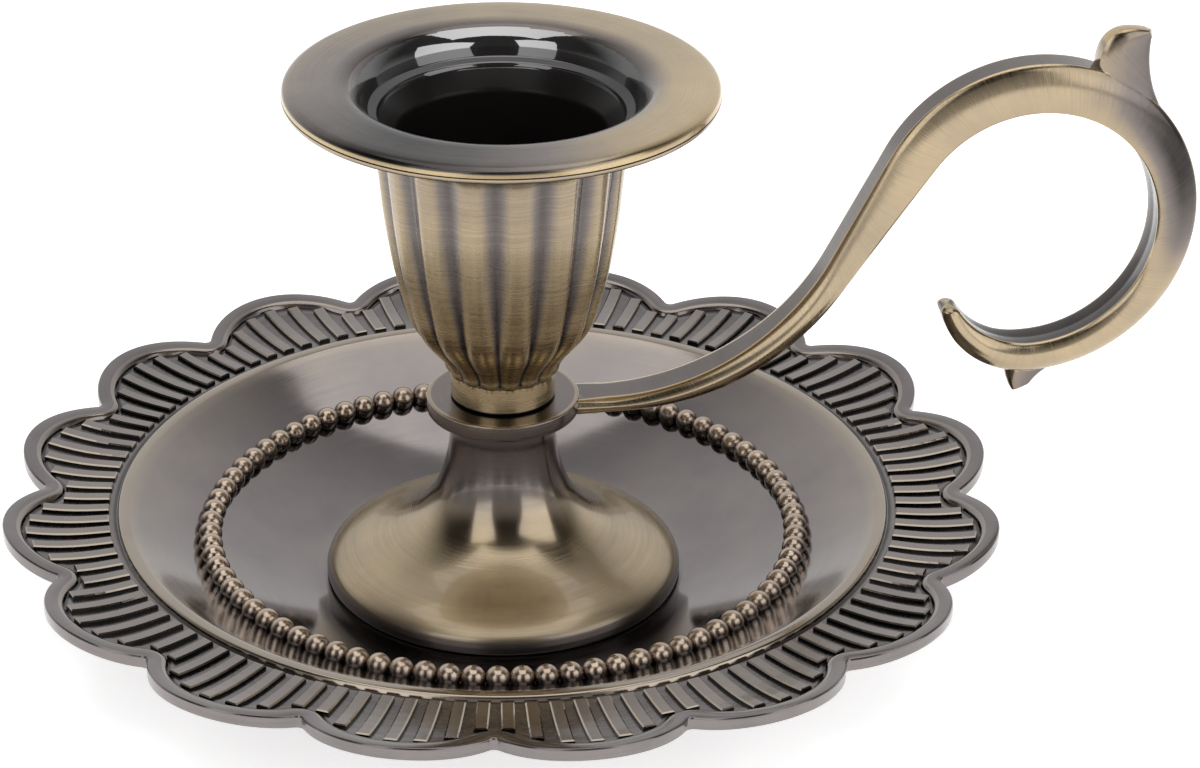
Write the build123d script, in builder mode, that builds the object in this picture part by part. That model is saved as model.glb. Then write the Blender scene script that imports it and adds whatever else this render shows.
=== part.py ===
from build123d import *
import os
from math import cos, hypot, pi, radians, sin, sqrt, tan

os.makedirs("parts", exist_ok=True)

# Chamberstick with a finger loop, in millimetres: a scalloped drip plate, a trumpet pedestal, a
# scrolled handle on an eyelet collar and a reeded candle cup, drawn together by one screw from below.
# Z is the stick's axis, the plate stands on Z = 0 and the handle reaches along +X.

# Drip plate, outline and border
PETALS = 16
NOTCH_RADIUS = 50.0  # axis to the notches between the petals
PETAL_RISE = 4.5  # petal tips stand out this far past the notches
PLATE_TURN = -8.4  # degrees from the handle to the nearest notch
NOTCH_ROUND = 0.7
FIELD_HEIGHT = 10.5  # table to the level part of the ribbed field
FIELD_WALL = 1.0
FLARE_INSET = 1.8  # from this far inside the notches, the field and its border slope upwards
FLARE_SLOPE = 13.4  # degrees
BORDER_WIDTH = 2.0
BORDER_STEP = 0.5  # border top above the ribbed field
RIBS_PER_PETAL = 7
RIB_WIDTH = 1.05
RIB_HEIGHT = 0.4
RIB_GAP = 0.45  # rib ends to the border, and to the inner ring
RIB_RING_GAP = 0.95

# Drip plate, dish
PLATE_WALL = 1.6
DISH_FLOOR_RADIUS = 20.5
DISH_SAG = 0.6  # the bowl lies this far below a straight slope at the beads
RING_RADIUS = 42.1  # outer edge of the smooth ring round the dish
RING_WIDTH = 1.5
RING_HEIGHT = 0.45  # ring's crest above the ribbed field
RING_BEVEL = 0.35  # slope on the ring's outer edge
RING_CREST = 0.4  # width of the ring's level top
RING_INNER_HEIGHT = 0.27  # ring's inner edge above the ribbed field
BEAD_RING_RADIUS = 32.2
BEAD_PITCH = 2.53  # bead to bead round the ring
BEAD_RADIUS = 1.1
BEAD_SIDES = 8
BEAD_ROOT = 0.7  # straight side of a bead, below and above the bowl's face
BEAD_WAIST = 0.6
BEAD_CAP = 0.8  # sloping cap on the straight side
BEAD_CAP_SLOPE = 40.0

# Tie screw and washer, M4
SCREW_RADIUS = 2.0
HEAD_RADIUS = 4.0
HEAD_HEIGHT = 3.1
HEAD_BEVEL = 0.9
SLOT_WIDTH = 1.2
SLOT_DEPTH = 1.3
WASHER_RADIUS = 4.5
WASHER_THICKNESS = 0.8
THREAD_ENGAGEMENT = 10.0
TAP_RUNOUT = 0.9  # tapped hole past the screw's end
HEAD_CLEARANCE = 0.5  # screw head above the table
HOLE_CLEARANCE = 0.25  # screw in the plain holes, radial
THREAD_CLEARANCE = 0.05  # screw in the tapped hole, radial
RECESS_CLEARANCE = 0.7  # washer in the plate's recess, radial

# Pedestal
PEDESTAL_HEIGHT = 19.9
FOOT_RADIUS = 19.5
FOOT_LIP = 0.9
FOOT_BEVEL = 0.5
SHOULDER_RADIUS = 11.5  # where the sloping shoulder turns into the hollow curve of the neck
SHOULDER_HEIGHT = 5.6
NECK_RADIUS = 5.8
NECK_LENGTH = 4.5  # straight neck under the collar
PEDESTAL_WALL = 1.8
HOLLOW_RADIUS = 8.6  # roof of the hollow under the foot
HOLLOW_HEIGHT = 5.2

# Handle: collar and arm
COLLAR_RADIUS = 8.25
COLLAR_THICKNESS = 1.8
HANDLE_WIDTH = 5.4
HANDLE_BEVEL = 0.6
ARM_THICKNESS = 1.6
ARM_DROP = 0.3  # arm's underside below the collar's
ARM_RUN_TOP = 11.1  # level run of the arm's upper and lower edges, from the axis
ARM_RUN_BOTTOM = 13.3
CLIMB_TOP = 62.3  # degrees, straight climb of the same edges from their sweep to the loop
CLIMB_BOTTOM = 55.3

# Handle: finger loop, scroll, thumb leaf and spur
LOOP_REACH = 57.7  # axis to the loop's centre
LOOP_RISE = 18.45  # loop's centre above the collar's underside
LOOP_RADIUS = 13.75  # inside of the loop
LOOP_BACK_RADIUS = 18.2  # outside of the loop
LOOP_BACK_RISE = 0.92  # centre of the outside above the centre of the inside
SCROLL_RADIUS = 10.4  # inside of the scroll below the loop
SCROLL_BACK_RADIUS = 10.4
SCROLL_RISE = 4.2  # scroll's tip above the inside of the loop's bottom
LEAF_START = 69.5  # leaf's ends and tip, degrees round the loop's back
LEAF_TIP = 60.5
LEAF_END = 37.0
LEAF_HEIGHT = 6.0
LEAF_BULGE = 2.1
LEAF_THICKNESS = 3.6
SPUR_START = -93.5
SPUR_TIP = -88.8
SPUR_END = -77.0
SPUR_HEIGHT = 2.9
SPUR_BULGE = 0.45

# Candle cup
CUP_HEIGHT = 36.6
SPIGOT_RADIUS = 5.65
SPIGOT_HEIGHT = 2.7
REEDS = 16
CUP_TURN = -10.5  # degrees from the handle to the nearest groove
REED_SHARE = 0.075  # groove depth as a share of the local radius
TULIP_HEIGHT = 28.5  # reeded body, from the spigot to the flange
TULIP_STATIONS = (  # share of the body's height, and radius over the reeds
    (0.0, 5.9),
    (0.116, 7.6),
    (0.221, 9.75),
    (0.361, 11.0),
    (0.52, 11.95),
    (0.677, 12.6),
    (0.839, 13.05),
    (1.0, 13.4),
)
FLANGE_RADIUS = 22.95
FLANGE_EDGE = 1.3  # thickness at the edge
FLANGE_BEVEL = 0.5
FLANGE_COVE_RADIUS = 13.9  # cove under the flange, where it meets the body
FLANGE_COVE_DROP = 5.4
FUNNEL_RADIUS = 15.6
FUNNEL_DEPTH = 3.2
FUNNEL_BEVEL = 0.9
LEDGE_RADIUS = 13.85
MOUTH_RADIUS = 12.95
LEDGE_FALL = 0.3
LEAD_IN = 2.3  # taper from the mouth to the straight socket
SOCKET_RADIUS = 11.0
SOCKET_LENGTH = 8.0
SOCKET_FLOOR_RADIUS = 8.4
SOCKET_FLOOR = 2.8  # metal between the tapped hole and the socket

# Heights of the stack, from the table up
field_top = FIELD_HEIGHT
field_under = FIELD_HEIGHT - FIELD_WALL
recess_top = HEAD_CLEARANCE + HEAD_HEIGHT + WASHER_THICKNESS
head_seat = recess_top - WASHER_THICKNESS
pedestal_top = PLATE_WALL + PEDESTAL_HEIGHT
cup_base = pedestal_top + COLLAR_THICKNESS
screw_end = cup_base + THREAD_ENGAGEMENT
tulip_base = cup_base + SPIGOT_HEIGHT
cup_top = cup_base + CUP_HEIGHT
recess_radius = WASHER_RADIUS + RECESS_CLEARANCE
hole_radius = SCREW_RADIUS + HOLE_CLEARANCE


def polar(radius, angle):
    return (radius * cos(radians(angle)), radius * sin(radians(angle)))


def shifted(point, offset):
    return (point[0] + offset[0], point[1] + offset[1])


# Drip plate: a revolved dish carrying a scalloped, ribbed field inside a raised border
petal_angle = 360 / PETALS
ring_inner = (RING_RADIUS - RING_WIDTH, field_top + RING_INNER_HEIGHT)
bowl_start = (DISH_FLOOR_RADIUS, PLATE_WALL)
bowl_run = ring_inner[0] - bowl_start[0]
bowl_climb = ring_inner[1] - bowl_start[1]
bead_share = (BEAD_RING_RADIUS - bowl_start[0]) / bowl_run
bead_seat = (BEAD_RING_RADIUS, bowl_start[1] + bead_share * bowl_climb - DISH_SAG)
wall_share = PLATE_WALL / hypot(bowl_run, bowl_climb)
wall_shift = (wall_share * bowl_climb, -wall_share * bowl_run)
field_inner_radius = RING_RADIUS + RIB_RING_GAP / 2
bead_count = round(2 * pi * BEAD_RING_RADIUS / BEAD_PITCH)
rib_count = PETALS * RIBS_PER_PETAL
rib_start = RING_RADIUS + RIB_RING_GAP
rib_end = NOTCH_RADIUS + PETAL_RISE
flare_start = NOTCH_RADIUS - FLARE_INSET
flare_end = NOTCH_RADIUS + PETAL_RISE + BORDER_WIDTH
flare_rise = (flare_end - flare_start) * tan(radians(FLARE_SLOPE))


with BuildLine() as scallops:
    for petal in range(PETALS):
        petal_start = PLATE_TURN + petal * petal_angle
        ThreePointArc(
            polar(NOTCH_RADIUS, petal_start),
            polar(NOTCH_RADIUS + PETAL_RISE, petal_start + petal_angle / 2),
            polar(NOTCH_RADIUS, petal_start + petal_angle),
        )

with BuildSketch() as outline:
    make_face(scallops.edges())
    fillet(outline.vertices(), NOTCH_ROUND)

with BuildSketch() as field:
    add(outline.sketch)
    offset(amount=-BORDER_WIDTH)

with BuildSketch() as border:
    add(outline.sketch)
    add(field.sketch, mode=Mode.SUBTRACT)

with BuildSketch() as rib_limit:
    add(field.sketch)
    offset(amount=-RIB_GAP)

with BuildSketch() as ribs:
    with PolarLocations((rib_start + rib_end) / 2, rib_count, start_angle=PLATE_TURN + 180 / rib_count):
        Rectangle(rib_end - rib_start, RIB_WIDTH)
    add(rib_limit.sketch, mode=Mode.INTERSECT)


def flared_layer(region, low, high):
    """A layer between two heights over the field's face, level inside and flared outside, cut to a region."""
    with BuildPart() as layer:
        with BuildSketch(Plane.XZ):
            with BuildLine():
                Polyline(
                    (field_inner_radius, field_top + low),
                    (flare_start, field_top + low),
                    (flare_end, field_top + flare_rise + low),
                    (flare_end, field_top + flare_rise + high),
                    (flare_start, field_top + high),
                    (field_inner_radius, field_top + high),
                    close=True,
                )
            make_face()
        revolve(axis=Axis.Z)
        with BuildSketch():
            add(region)
        extrude(amount=2 * FIELD_HEIGHT, mode=Mode.INTERSECT)
    return layer.part


with BuildPart() as bead:
    with BuildSketch(Plane.XY.offset(-BEAD_ROOT)):
        RegularPolygon(BEAD_RADIUS, BEAD_SIDES)
    extrude(amount=BEAD_ROOT + BEAD_WAIST)
    extrude(bead.faces().sort_by(Axis.Z)[-1], amount=BEAD_CAP, taper=BEAD_CAP_SLOPE)

with BuildPart() as drip_plate:
    with BuildSketch(Plane.XZ):
        with BuildLine():
            Polyline(
                bowl_start,
                (recess_radius + PLATE_WALL, PLATE_WALL),
                (recess_radius + PLATE_WALL, recess_top + PLATE_WALL),
                (hole_radius, recess_top + PLATE_WALL),
                (hole_radius, recess_top),
                (recess_radius, recess_top),
                (recess_radius, 0),
                (bowl_start[0] + wall_shift[0], 0),
                shifted(bead_seat, wall_shift),
                (ring_inner[0] + wall_shift[0], field_under),
                (field_inner_radius, field_under),
                (field_inner_radius, field_top),
                (RING_RADIUS, field_top),
                (RING_RADIUS - RING_BEVEL, field_top + RING_HEIGHT),
                (RING_RADIUS - RING_BEVEL - RING_CREST, field_top + RING_HEIGHT),
                ring_inner,
                bead_seat,
                close=True,
            )
        make_face()
    revolve(axis=Axis.Z)
    add(flared_layer(outline.sketch, -FIELD_WALL, 0))
    add(flared_layer(border.sketch, -FIELD_WALL / 2, BORDER_STEP))
    add(flared_layer(ribs.sketch, -FIELD_WALL / 2, RIB_HEIGHT))
    with Locations((0, 0, bead_seat[1])):
        with PolarLocations(BEAD_RING_RADIUS, bead_count, start_angle=PLATE_TURN):
            add(bead.part)
drip_plate.part.label = "drip_plate"
export_step(drip_plate.part, "parts/drip_plate.step")


# Pedestal: a turned trumpet foot, hollow from below, closed at the top by the web under the collar
foot_top = (FOOT_RADIUS, PLATE_WALL + FOOT_LIP)
shoulder = (SHOULDER_RADIUS, PLATE_WALL + SHOULDER_HEIGHT)
neck_base = pedestal_top - NECK_LENGTH
hollow_top = PLATE_WALL + HOLLOW_HEIGHT

with BuildPart() as pedestal:
    with BuildSketch(Plane.XZ) as trumpet:
        with BuildLine():
            Polyline(
                (NECK_RADIUS, neck_base),
                (NECK_RADIUS, pedestal_top),
                (hole_radius, pedestal_top),
                (hole_radius, hollow_top),
                (HOLLOW_RADIUS, hollow_top),
                (FOOT_RADIUS - PEDESTAL_WALL, PLATE_WALL),
                (FOOT_RADIUS, PLATE_WALL),
                foot_top,
                shoulder,
            )
            TangentArc((NECK_RADIUS, neck_base), shoulder, tangent=(0, -1))
        make_face()
        chamfer(trumpet.vertices().sort_by_distance(foot_top)[0], FOOT_BEVEL)
    revolve(axis=Axis.Z)
pedestal.part.label = "pedestal"
export_step(pedestal.part, "parts/pedestal.step")


# Handle: a flat eyelet collar whose arm sweeps up into a finger loop ending in a scroll
collar_plane = Plane.XY.offset(pedestal_top)
arm_bottom = pedestal_top - ARM_DROP
arm_top = arm_bottom + ARM_THICKNESS
loop_centre = (LOOP_REACH, pedestal_top + LOOP_RISE)
back_centre = (LOOP_REACH, loop_centre[1] + LOOP_BACK_RISE)
scroll_centre = (LOOP_REACH, loop_centre[1] - LOOP_RADIUS + SCROLL_RADIUS)
scroll_back_centre = (LOOP_REACH, back_centre[1] - LOOP_BACK_RADIUS + SCROLL_BACK_RADIUS)
tip_height = loop_centre[1] - LOOP_RADIUS + SCROLL_RISE


def crossing(run, level, climb, centre, radius):
    """Ends of the straight climb that leaves the arm's sweep and runs on to the loop's upper left."""
    normal = polar(1, climb - 90)
    reach = (centre[0] - run) * normal[0] + (centre[1] - level) * normal[1]
    sweep_radius = (reach - radius) / (1 + normal[1])
    leave = (run + sweep_radius * normal[0], level + sweep_radius * (1 + normal[1]))
    join = (centre[0] - radius * normal[0], centre[1] - radius * normal[1])
    return leave, join


def on_circle_at_height(centre, radius, height):
    return (centre[0] - sqrt(radius**2 - (height - centre[1]) ** 2), height)


def on_back(angle, rise=0.0):
    return shifted(back_centre, polar(LOOP_BACK_RADIUS + rise, angle))


def spike(start, tip, end, height, bulge, turn):
    """Outline of a leaf on the loop's back: a bulged edge up to the tip, a hollow edge flowing back."""
    with BuildLine() as spike_edge:
        SagittaArc(on_back(start), on_back(tip, height), turn * bulge)
        TangentArc(on_back(end), on_back(tip, height), tangent=polar(1, end + turn * 90))
        Polyline(on_back(end), back_centre, on_back(start))
    make_face(spike_edge.edges())


top_leave, top_join = crossing(ARM_RUN_TOP, arm_top, CLIMB_TOP, back_centre, LOOP_BACK_RADIUS)
bottom_leave, bottom_join = crossing(ARM_RUN_BOTTOM, arm_bottom, CLIMB_BOTTOM, loop_centre, LOOP_RADIUS)
scroll_end = on_circle_at_height(scroll_centre, SCROLL_RADIUS, tip_height)
scroll_back_end = on_circle_at_height(scroll_back_centre, SCROLL_BACK_RADIUS, tip_height)

with BuildPart() as handle:
    with BuildSketch(Plane.XZ):
        with BuildLine():
            Line((0, arm_bottom), (0, arm_top))
            Line((0, arm_top), (ARM_RUN_TOP, arm_top))
            TangentArc((ARM_RUN_TOP, arm_top), top_leave, tangent=(1, 0))
            Line(top_leave, top_join)
            ThreePointArc(top_join, on_back(0), on_back(-90))
            TangentArc(on_back(-90), scroll_back_end, tangent=(-1, 0))
            Line(scroll_back_end, scroll_end)
            TangentArc((LOOP_REACH, loop_centre[1] - LOOP_RADIUS), scroll_end, tangent=(-1, 0))
            ThreePointArc(
                (LOOP_REACH, loop_centre[1] - LOOP_RADIUS),
                (LOOP_REACH + LOOP_RADIUS, loop_centre[1]),
                bottom_join,
            )
            Line(bottom_join, bottom_leave)
            TangentArc((ARM_RUN_BOTTOM, arm_bottom), bottom_leave, tangent=(1, 0))
            Line((ARM_RUN_BOTTOM, arm_bottom), (0, arm_bottom))
        make_face()
    extrude(amount=HANDLE_WIDTH / 2, both=True)
    side_faces = handle.faces().filter_by(Axis.Y)
    chamfer(side_faces.edges().filter_by(lambda edge: edge.center().X > 0), HANDLE_BEVEL)
    with BuildSketch(Plane.XZ) as loop_spikes:
        spike(LEAF_START, LEAF_TIP, LEAF_END, LEAF_HEIGHT, LEAF_BULGE, 1)
        spike(SPUR_START, SPUR_TIP, SPUR_END, SPUR_HEIGHT, SPUR_BULGE, -1)
        with Locations(back_centre):
            Circle(LOOP_BACK_RADIUS - HANDLE_BEVEL, mode=Mode.SUBTRACT)
    extrude(amount=LEAF_THICKNESS / 2, both=True)
    with BuildSketch(collar_plane):
        Circle(COLLAR_RADIUS - HANDLE_BEVEL)
    extrude(amount=-ARM_DROP * 2, mode=Mode.SUBTRACT)
    with BuildSketch(collar_plane):
        Circle(COLLAR_RADIUS)
    extrude(amount=COLLAR_THICKNESS)
    with BuildSketch(collar_plane):
        Circle(hole_radius)
    extrude(amount=COLLAR_THICKNESS, mode=Mode.SUBTRACT)
handle.part.label = "handle"
export_step(handle.part, "parts/handle.step")


# Candle cup: a reeded tulip on a spigot, flared into a flange, with a funnel leading to the socket
socket_top = cup_top - FUNNEL_DEPTH - LEDGE_FALL - LEAD_IN
socket_base = socket_top - SOCKET_LENGTH
socket_floor = screw_end + TAP_RUNOUT + SOCKET_FLOOR
flange_under = cup_top - FLANGE_EDGE
cove_base = flange_under - FLANGE_COVE_DROP

with BuildPart() as candle_cup:
    for share, radius in TULIP_STATIONS:
        with BuildSketch(Plane.XY.offset(tulip_base + share * TULIP_HEIGHT)):
            with BuildLine():
                for reed in range(REEDS):
                    start = CUP_TURN + reed * 360 / REEDS
                    ThreePointArc(
                        polar(radius * (1 - REED_SHARE), start),
                        polar(radius, start + 180 / REEDS),
                        polar(radius * (1 - REED_SHARE), start + 360 / REEDS),
                    )
            make_face()
    loft(ruled=True)
    with BuildSketch(Plane.XZ) as flange:
        with BuildLine():
            Line((0, cove_base), (FLANGE_COVE_RADIUS, cove_base))
            TangentArc((FLANGE_COVE_RADIUS, cove_base), (FLANGE_RADIUS, flange_under), tangent=(0, 1))
            Polyline(
                (FLANGE_RADIUS, flange_under),
                (FLANGE_RADIUS, cup_top),
                (0, cup_top),
                (0, cove_base),
            )
        make_face()
        chamfer(flange.vertices().sort_by_distance((FLANGE_RADIUS, cup_top))[0], FLANGE_BEVEL)
    revolve(axis=Axis.Z)
    with BuildSketch(Plane.XY.offset(cup_base)):
        Circle(SPIGOT_RADIUS)
    extrude(amount=SPIGOT_HEIGHT)
    with BuildSketch(Plane.XZ):
        with BuildLine():
            Polyline(
                (0, socket_floor),
                (SOCKET_FLOOR_RADIUS, socket_floor),
                (SOCKET_RADIUS, socket_base),
                (SOCKET_RADIUS, socket_top),
                (MOUTH_RADIUS, socket_top + LEAD_IN),
                (LEDGE_RADIUS, cup_top - FUNNEL_DEPTH),
                (FUNNEL_RADIUS, cup_top),
                (0, cup_top),
                (0, socket_floor),
            )
        make_face()
    revolve(axis=Axis.Z, mode=Mode.SUBTRACT)
    rim_edges = candle_cup.edges().filter_by(GeomType.CIRCLE).group_by(Axis.Z)[-1]
    chamfer(rim_edges.sort_by(SortBy.RADIUS)[0], FUNNEL_BEVEL)
    with BuildSketch(Plane.XY.offset(cup_base)):
        Circle(SCREW_RADIUS + THREAD_CLEARANCE)
    extrude(amount=THREAD_ENGAGEMENT + TAP_RUNOUT, mode=Mode.SUBTRACT)
candle_cup.part.label = "candle_cup"
export_step(candle_cup.part, "parts/candle_cup.step")


# Tie screw: a slotted pan head in the plate's recess, its shank up through the stack into the cup
with BuildPart() as tie_screw:
    with BuildSketch(Plane.XY.offset(head_seat)):
        Circle(HEAD_RADIUS)
    extrude(amount=-HEAD_HEIGHT)
    chamfer(tie_screw.edges().filter_by(GeomType.CIRCLE).sort_by(Axis.Z)[0], HEAD_BEVEL)
    with BuildSketch(Plane.XY.offset(head_seat - HEAD_HEIGHT)):
        Rectangle(2 * HEAD_RADIUS, SLOT_WIDTH)
    extrude(amount=SLOT_DEPTH, mode=Mode.SUBTRACT)
    with BuildSketch(Plane.XY.offset(head_seat)):
        Circle(SCREW_RADIUS)
    extrude(amount=screw_end - head_seat)
tie_screw.part.label = "tie_screw"
export_step(tie_screw.part, "parts/tie_screw.step")


# Washer: a plain ring between the screw head and the roof of the recess
with BuildPart() as washer:
    with BuildSketch(Plane.XY.offset(head_seat)):
        Circle(WASHER_RADIUS)
        Circle(hole_radius, mode=Mode.SUBTRACT)
    extrude(amount=WASHER_THICKNESS)
washer.part.label = "washer"
export_step(washer.part, "parts/washer.step")
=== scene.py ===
from math import asin, atan2, cos, dist, pi, radians, sin, sqrt, tau
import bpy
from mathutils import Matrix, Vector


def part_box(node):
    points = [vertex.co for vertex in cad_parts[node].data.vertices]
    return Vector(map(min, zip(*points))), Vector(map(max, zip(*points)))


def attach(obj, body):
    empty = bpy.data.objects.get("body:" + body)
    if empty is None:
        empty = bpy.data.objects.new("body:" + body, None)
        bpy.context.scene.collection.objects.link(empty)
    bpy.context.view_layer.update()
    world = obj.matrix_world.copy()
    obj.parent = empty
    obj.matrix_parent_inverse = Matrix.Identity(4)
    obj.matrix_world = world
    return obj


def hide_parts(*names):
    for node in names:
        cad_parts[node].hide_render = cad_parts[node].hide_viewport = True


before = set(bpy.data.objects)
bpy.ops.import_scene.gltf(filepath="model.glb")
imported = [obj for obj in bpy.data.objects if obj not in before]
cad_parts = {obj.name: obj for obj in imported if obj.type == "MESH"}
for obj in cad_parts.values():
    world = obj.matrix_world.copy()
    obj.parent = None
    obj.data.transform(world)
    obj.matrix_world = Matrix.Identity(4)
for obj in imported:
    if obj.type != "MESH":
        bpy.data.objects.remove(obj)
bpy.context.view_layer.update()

from types import SimpleNamespace

import bmesh
import bpy
from mathutils import Euler, Matrix, Vector
from mathutils.kdtree import KDTree

bl_info = {
    "name": "Chamberstick with Finger Loop",
    "version": (1, 0, 0),
    "blender": (4, 5, 0),
    "location": "View3D > Sidebar > Chamberstick",
    "description": "Dresses the packed frame of an antiqued brass chamberstick",
    "category": "Add Mesh",
}

MM = 0.001
SHARP_ANGLE = radians(34)
SCREW_HOLE = 2.25  # millimetres, radius of the plain holes that pass the screw


# Settings that a user would change

def linear(hex_colour):
    """An sRGB hex colour as the linear RGBA that Blender's sockets take."""
    channels = [int(hex_colour[i:i + 2], 16) / 255 for i in (1, 3, 5)]
    return [c / 12.92 if c <= 0.04045 else ((c + 0.055) / 1.055) ** 2.4 for c in channels] + [1.0]


def size(name, description, millimetres):
    return bpy.props.FloatProperty(
        name=name, description=description, default=millimetres * MM, unit="LENGTH", precision=5
    )


def angle(name, description, degrees):
    return bpy.props.FloatProperty(
        name=name, description=description, default=radians(degrees), subtype="ANGLE"
    )


def count(name, description, number):
    return bpy.props.IntProperty(name=name, description=description, default=number, min=1)


def colour(name, description, hex_colour):
    return bpy.props.FloatVectorProperty(
        name=name, description=description, default=linear(hex_colour), size=4,
        min=0.0, max=1.0, subtype="COLOR",
    )


class DripPlateSizes(bpy.types.PropertyGroup):
    petals: count("Petals", "Scallops round the rim", 16)
    notch_radius: size("Notch Radius", "Axis to the notches before they are rounded", 50.0)
    petal_rise: size("Petal Rise", "How far a petal stands out beyond the notches", 4.49)
    notch_round: size("Notch Rounding", "Radius in the bottom of a notch", 0.7)
    turn: angle("Turn", "Angle from the handle to the nearest notch", -8.4)
    field_height: size("Field Height", "Table to the level part of the ribbed field", 10.5)
    field_wall: size("Field Wall", "Thickness of the field", 1.0)
    flare_radius: size("Flare Radius", "Axis to where the field begins to curve upwards", 45.0)
    flare_rise: size("Flare Rise", "Rise of the field at the petals' tips", 1.5)
    border_width: size("Border Width", "Width of the raised border", 2.0)
    border_step: size("Border Step", "Border above the ribbed field", 0.5)
    wall: size("Wall", "Thickness of the dish", 1.6)
    floor_radius: size("Floor Radius", "Flat floor of the dish", 20.5)
    sag: size("Dish Sag", "Hollow of the dish's slope under a straight line", 0.6)
    ring_radius: size("Ring Radius", "Outside of the smooth ring inside the field", 42.1)
    ring_width: size("Ring Width", "Width of that ring", 1.5)
    ring_height: size("Ring Height", "Ring above the field", 0.45)
    ribs_per_petal: count("Ribs per Petal", "Radial ribs in each petal", 7)
    rib_width: size("Rib Width", "Width of one rib", 1.4)
    rib_height: size("Rib Height", "Rib above the field", 0.45)
    rib_bevel: size("Rib Bevel", "Slope round a rib's flat top", 0.14)
    bead_ring_radius: size("Bead Ring Radius", "Middle of the ring of beads", 32.2)
    beads: count("Beads", "Beads in the ring", 80)
    bead_radius: size("Bead Radius", "Radius of one bead", 1.34)
    bead_lift: size("Bead Lift", "Middle of a bead above the dish", 0.6)


class PedestalSizes(bpy.types.PropertyGroup):
    foot_radius: size("Foot Radius", "Outside of the foot", 19.5)
    neck_radius: size("Neck Radius", "Narrowest part, under the collar", 5.75)
    height: size("Height", "Dish floor to the collar", 19.9)
    hollow_radius: size("Hollow Radius", "Roof of the hollow under the foot", 8.6)
    hollow_height: size("Hollow Height", "Dish floor to that roof", 5.2)


class HandleSizes(bpy.types.PropertyGroup):
    collar_radius: size("Collar Radius", "Eyelet under the candle cup", 8.25)
    collar_thickness: size("Collar Thickness", "Thickness of the eyelet", 1.8)
    width: size("Width", "Width of the handle's bar", 5.4)
    arm_start: size("Arm Start", "Axis to where the arm grows out of the collar", 6.4)
    arm_top: size("Arm Top", "Arm's upper edge above the pedestal, where it is level", 1.3)
    arm_bottom: size("Arm Bottom", "Arm's lower edge above the pedestal, where it is level", -0.3)
    run_top: size("Upper Run", "Level run of the arm's upper edge, from the axis", 11.1)
    run_bottom: size("Lower Run", "Level run of the arm's lower edge, from the axis", 13.3)
    climb_top: angle("Upper Climb", "Slope of the upper edge where it climbs to the loop", 62.3)
    climb_bottom: angle("Lower Climb", "Slope of the lower edge where it climbs to the loop", 55.3)
    loop_reach: size("Loop Reach", "Axis to the middle of the finger loop", 57.7)
    loop_radius: size("Loop Radius", "Inside of the finger loop", 13.75)
    loop_rise: size("Loop Rise", "Middle of the loop above the pedestal", 18.45)
    back_radius: size("Back Radius", "Outside of the finger loop", 18.18)
    back_rise: size("Back Rise", "Middle of the outside above the middle of the inside", 0.92)
    scroll_radius: size("Scroll Radius", "Inner bend of the scroll below the loop", 9.0)
    tip_rise: size("Tip Rise", "Scroll's tip above the inside of the loop's bottom", 4.2)
    tip_width: size("Tip Width", "Width of the bar at the scroll's tip", 3.9)


class CandleCupSizes(bpy.types.PropertyGroup):
    reeds: count("Reeds", "Lobes round the tulip", 16)
    turn: angle("Turn", "Angle from the handle to the nearest groove", -10.5)
    reed_depth: bpy.props.FloatProperty(
        name="Reed Depth", description="Groove depth as a share of the radius", default=0.066,
        min=0.0, max=0.2, subtype="FACTOR",
    )
    spigot_radius: size("Spigot Radius", "Plain stem under the lobes", 5.65)
    flange_radius: size("Flange Radius", "Outside of the drip flange", 22.95)
    socket_radius: size("Socket Radius", "Bore that holds the candle", 11.0)


class TieScrewSizes(bpy.types.PropertyGroup):
    radius: size("Radius", "Outside of the thread", 2.0)
    pitch: size("Pitch", "Rise of the thread in one turn", 0.7)
    thread_depth: size("Thread Depth", "Depth of the thread", 0.32)
    plain_shank: size("Plain Shank", "Head to the start of the thread", 14.0)
    head_radius: size("Head Radius", "Slotted head", 4.0)
    slot_width: size("Slot Width", "Screwdriver slot", 1.2)
    slot_depth: size("Slot Depth", "Depth of the slot", 1.3)
    washer_radius: size("Washer Radius", "Outside of the washer", 4.5)


class FinishColours(bpy.types.PropertyGroup):
    worn_brass: colour("Worn Brass", "Brass where handling keeps it bright", "#C4AE86")
    aged_brass: colour("Aged Brass", "Brass under its grey-brown patina", "#746C68")
    plate_worn: colour("Worn Plate", "Highest edges of the plate", "#9F9384")
    plate_aged: colour("Aged Plate", "Gunmetal patina of the plate", "#787271")
    bead_worn: colour("Worn Beads", "Coppery tops of the beads", "#B9A592")
    black: colour("Black Patina", "Black left in the hollows", "#100F0F")
    lacquer_haze: colour("Lacquer Haze", "Brown haze in the black lacquer", "#1A1614")
    zinc: colour("Zinc", "Plating on the screw and washer", "#A9ABAD")


class StudioSettings(bpy.types.PropertyGroup):
    fill: bpy.props.FloatProperty(
        name="Fill", description="Light from all round on matt surfaces", default=0.55, min=0.0
    )
    softbox: bpy.props.FloatProperty(
        name="Softbox", description="Brightness of the softboxes' faces", default=1.5, min=0.0
    )


SETTINGS = {
    "drip_plate_sizes": DripPlateSizes,
    "pedestal_sizes": PedestalSizes,
    "handle_sizes": HandleSizes,
    "candle_cup_sizes": CandleCupSizes,
    "tie_screw_sizes": TieScrewSizes,
    "finish_colours": FinishColours,
    "studio_settings": StudioSettings,
}


def settings(context, name):
    """A group of settings with its lengths in millimetres."""
    group = getattr(context.scene, name)
    values = {}
    for key, kind in group.bl_rna.properties.items():
        if kind.is_runtime:
            value = getattr(group, key)
            values[key] = value / MM if kind.unit == "LENGTH" else value
    return SimpleNamespace(**values)


# Outlines, in millimetres

def spaced(start, end, steps):
    return [start + (end - start) * i / steps for i in range(steps + 1)]


def bearings(columns):
    """Angles of a number of columns all the way round."""
    return spaced(0, tau, columns)[:-1]


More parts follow.
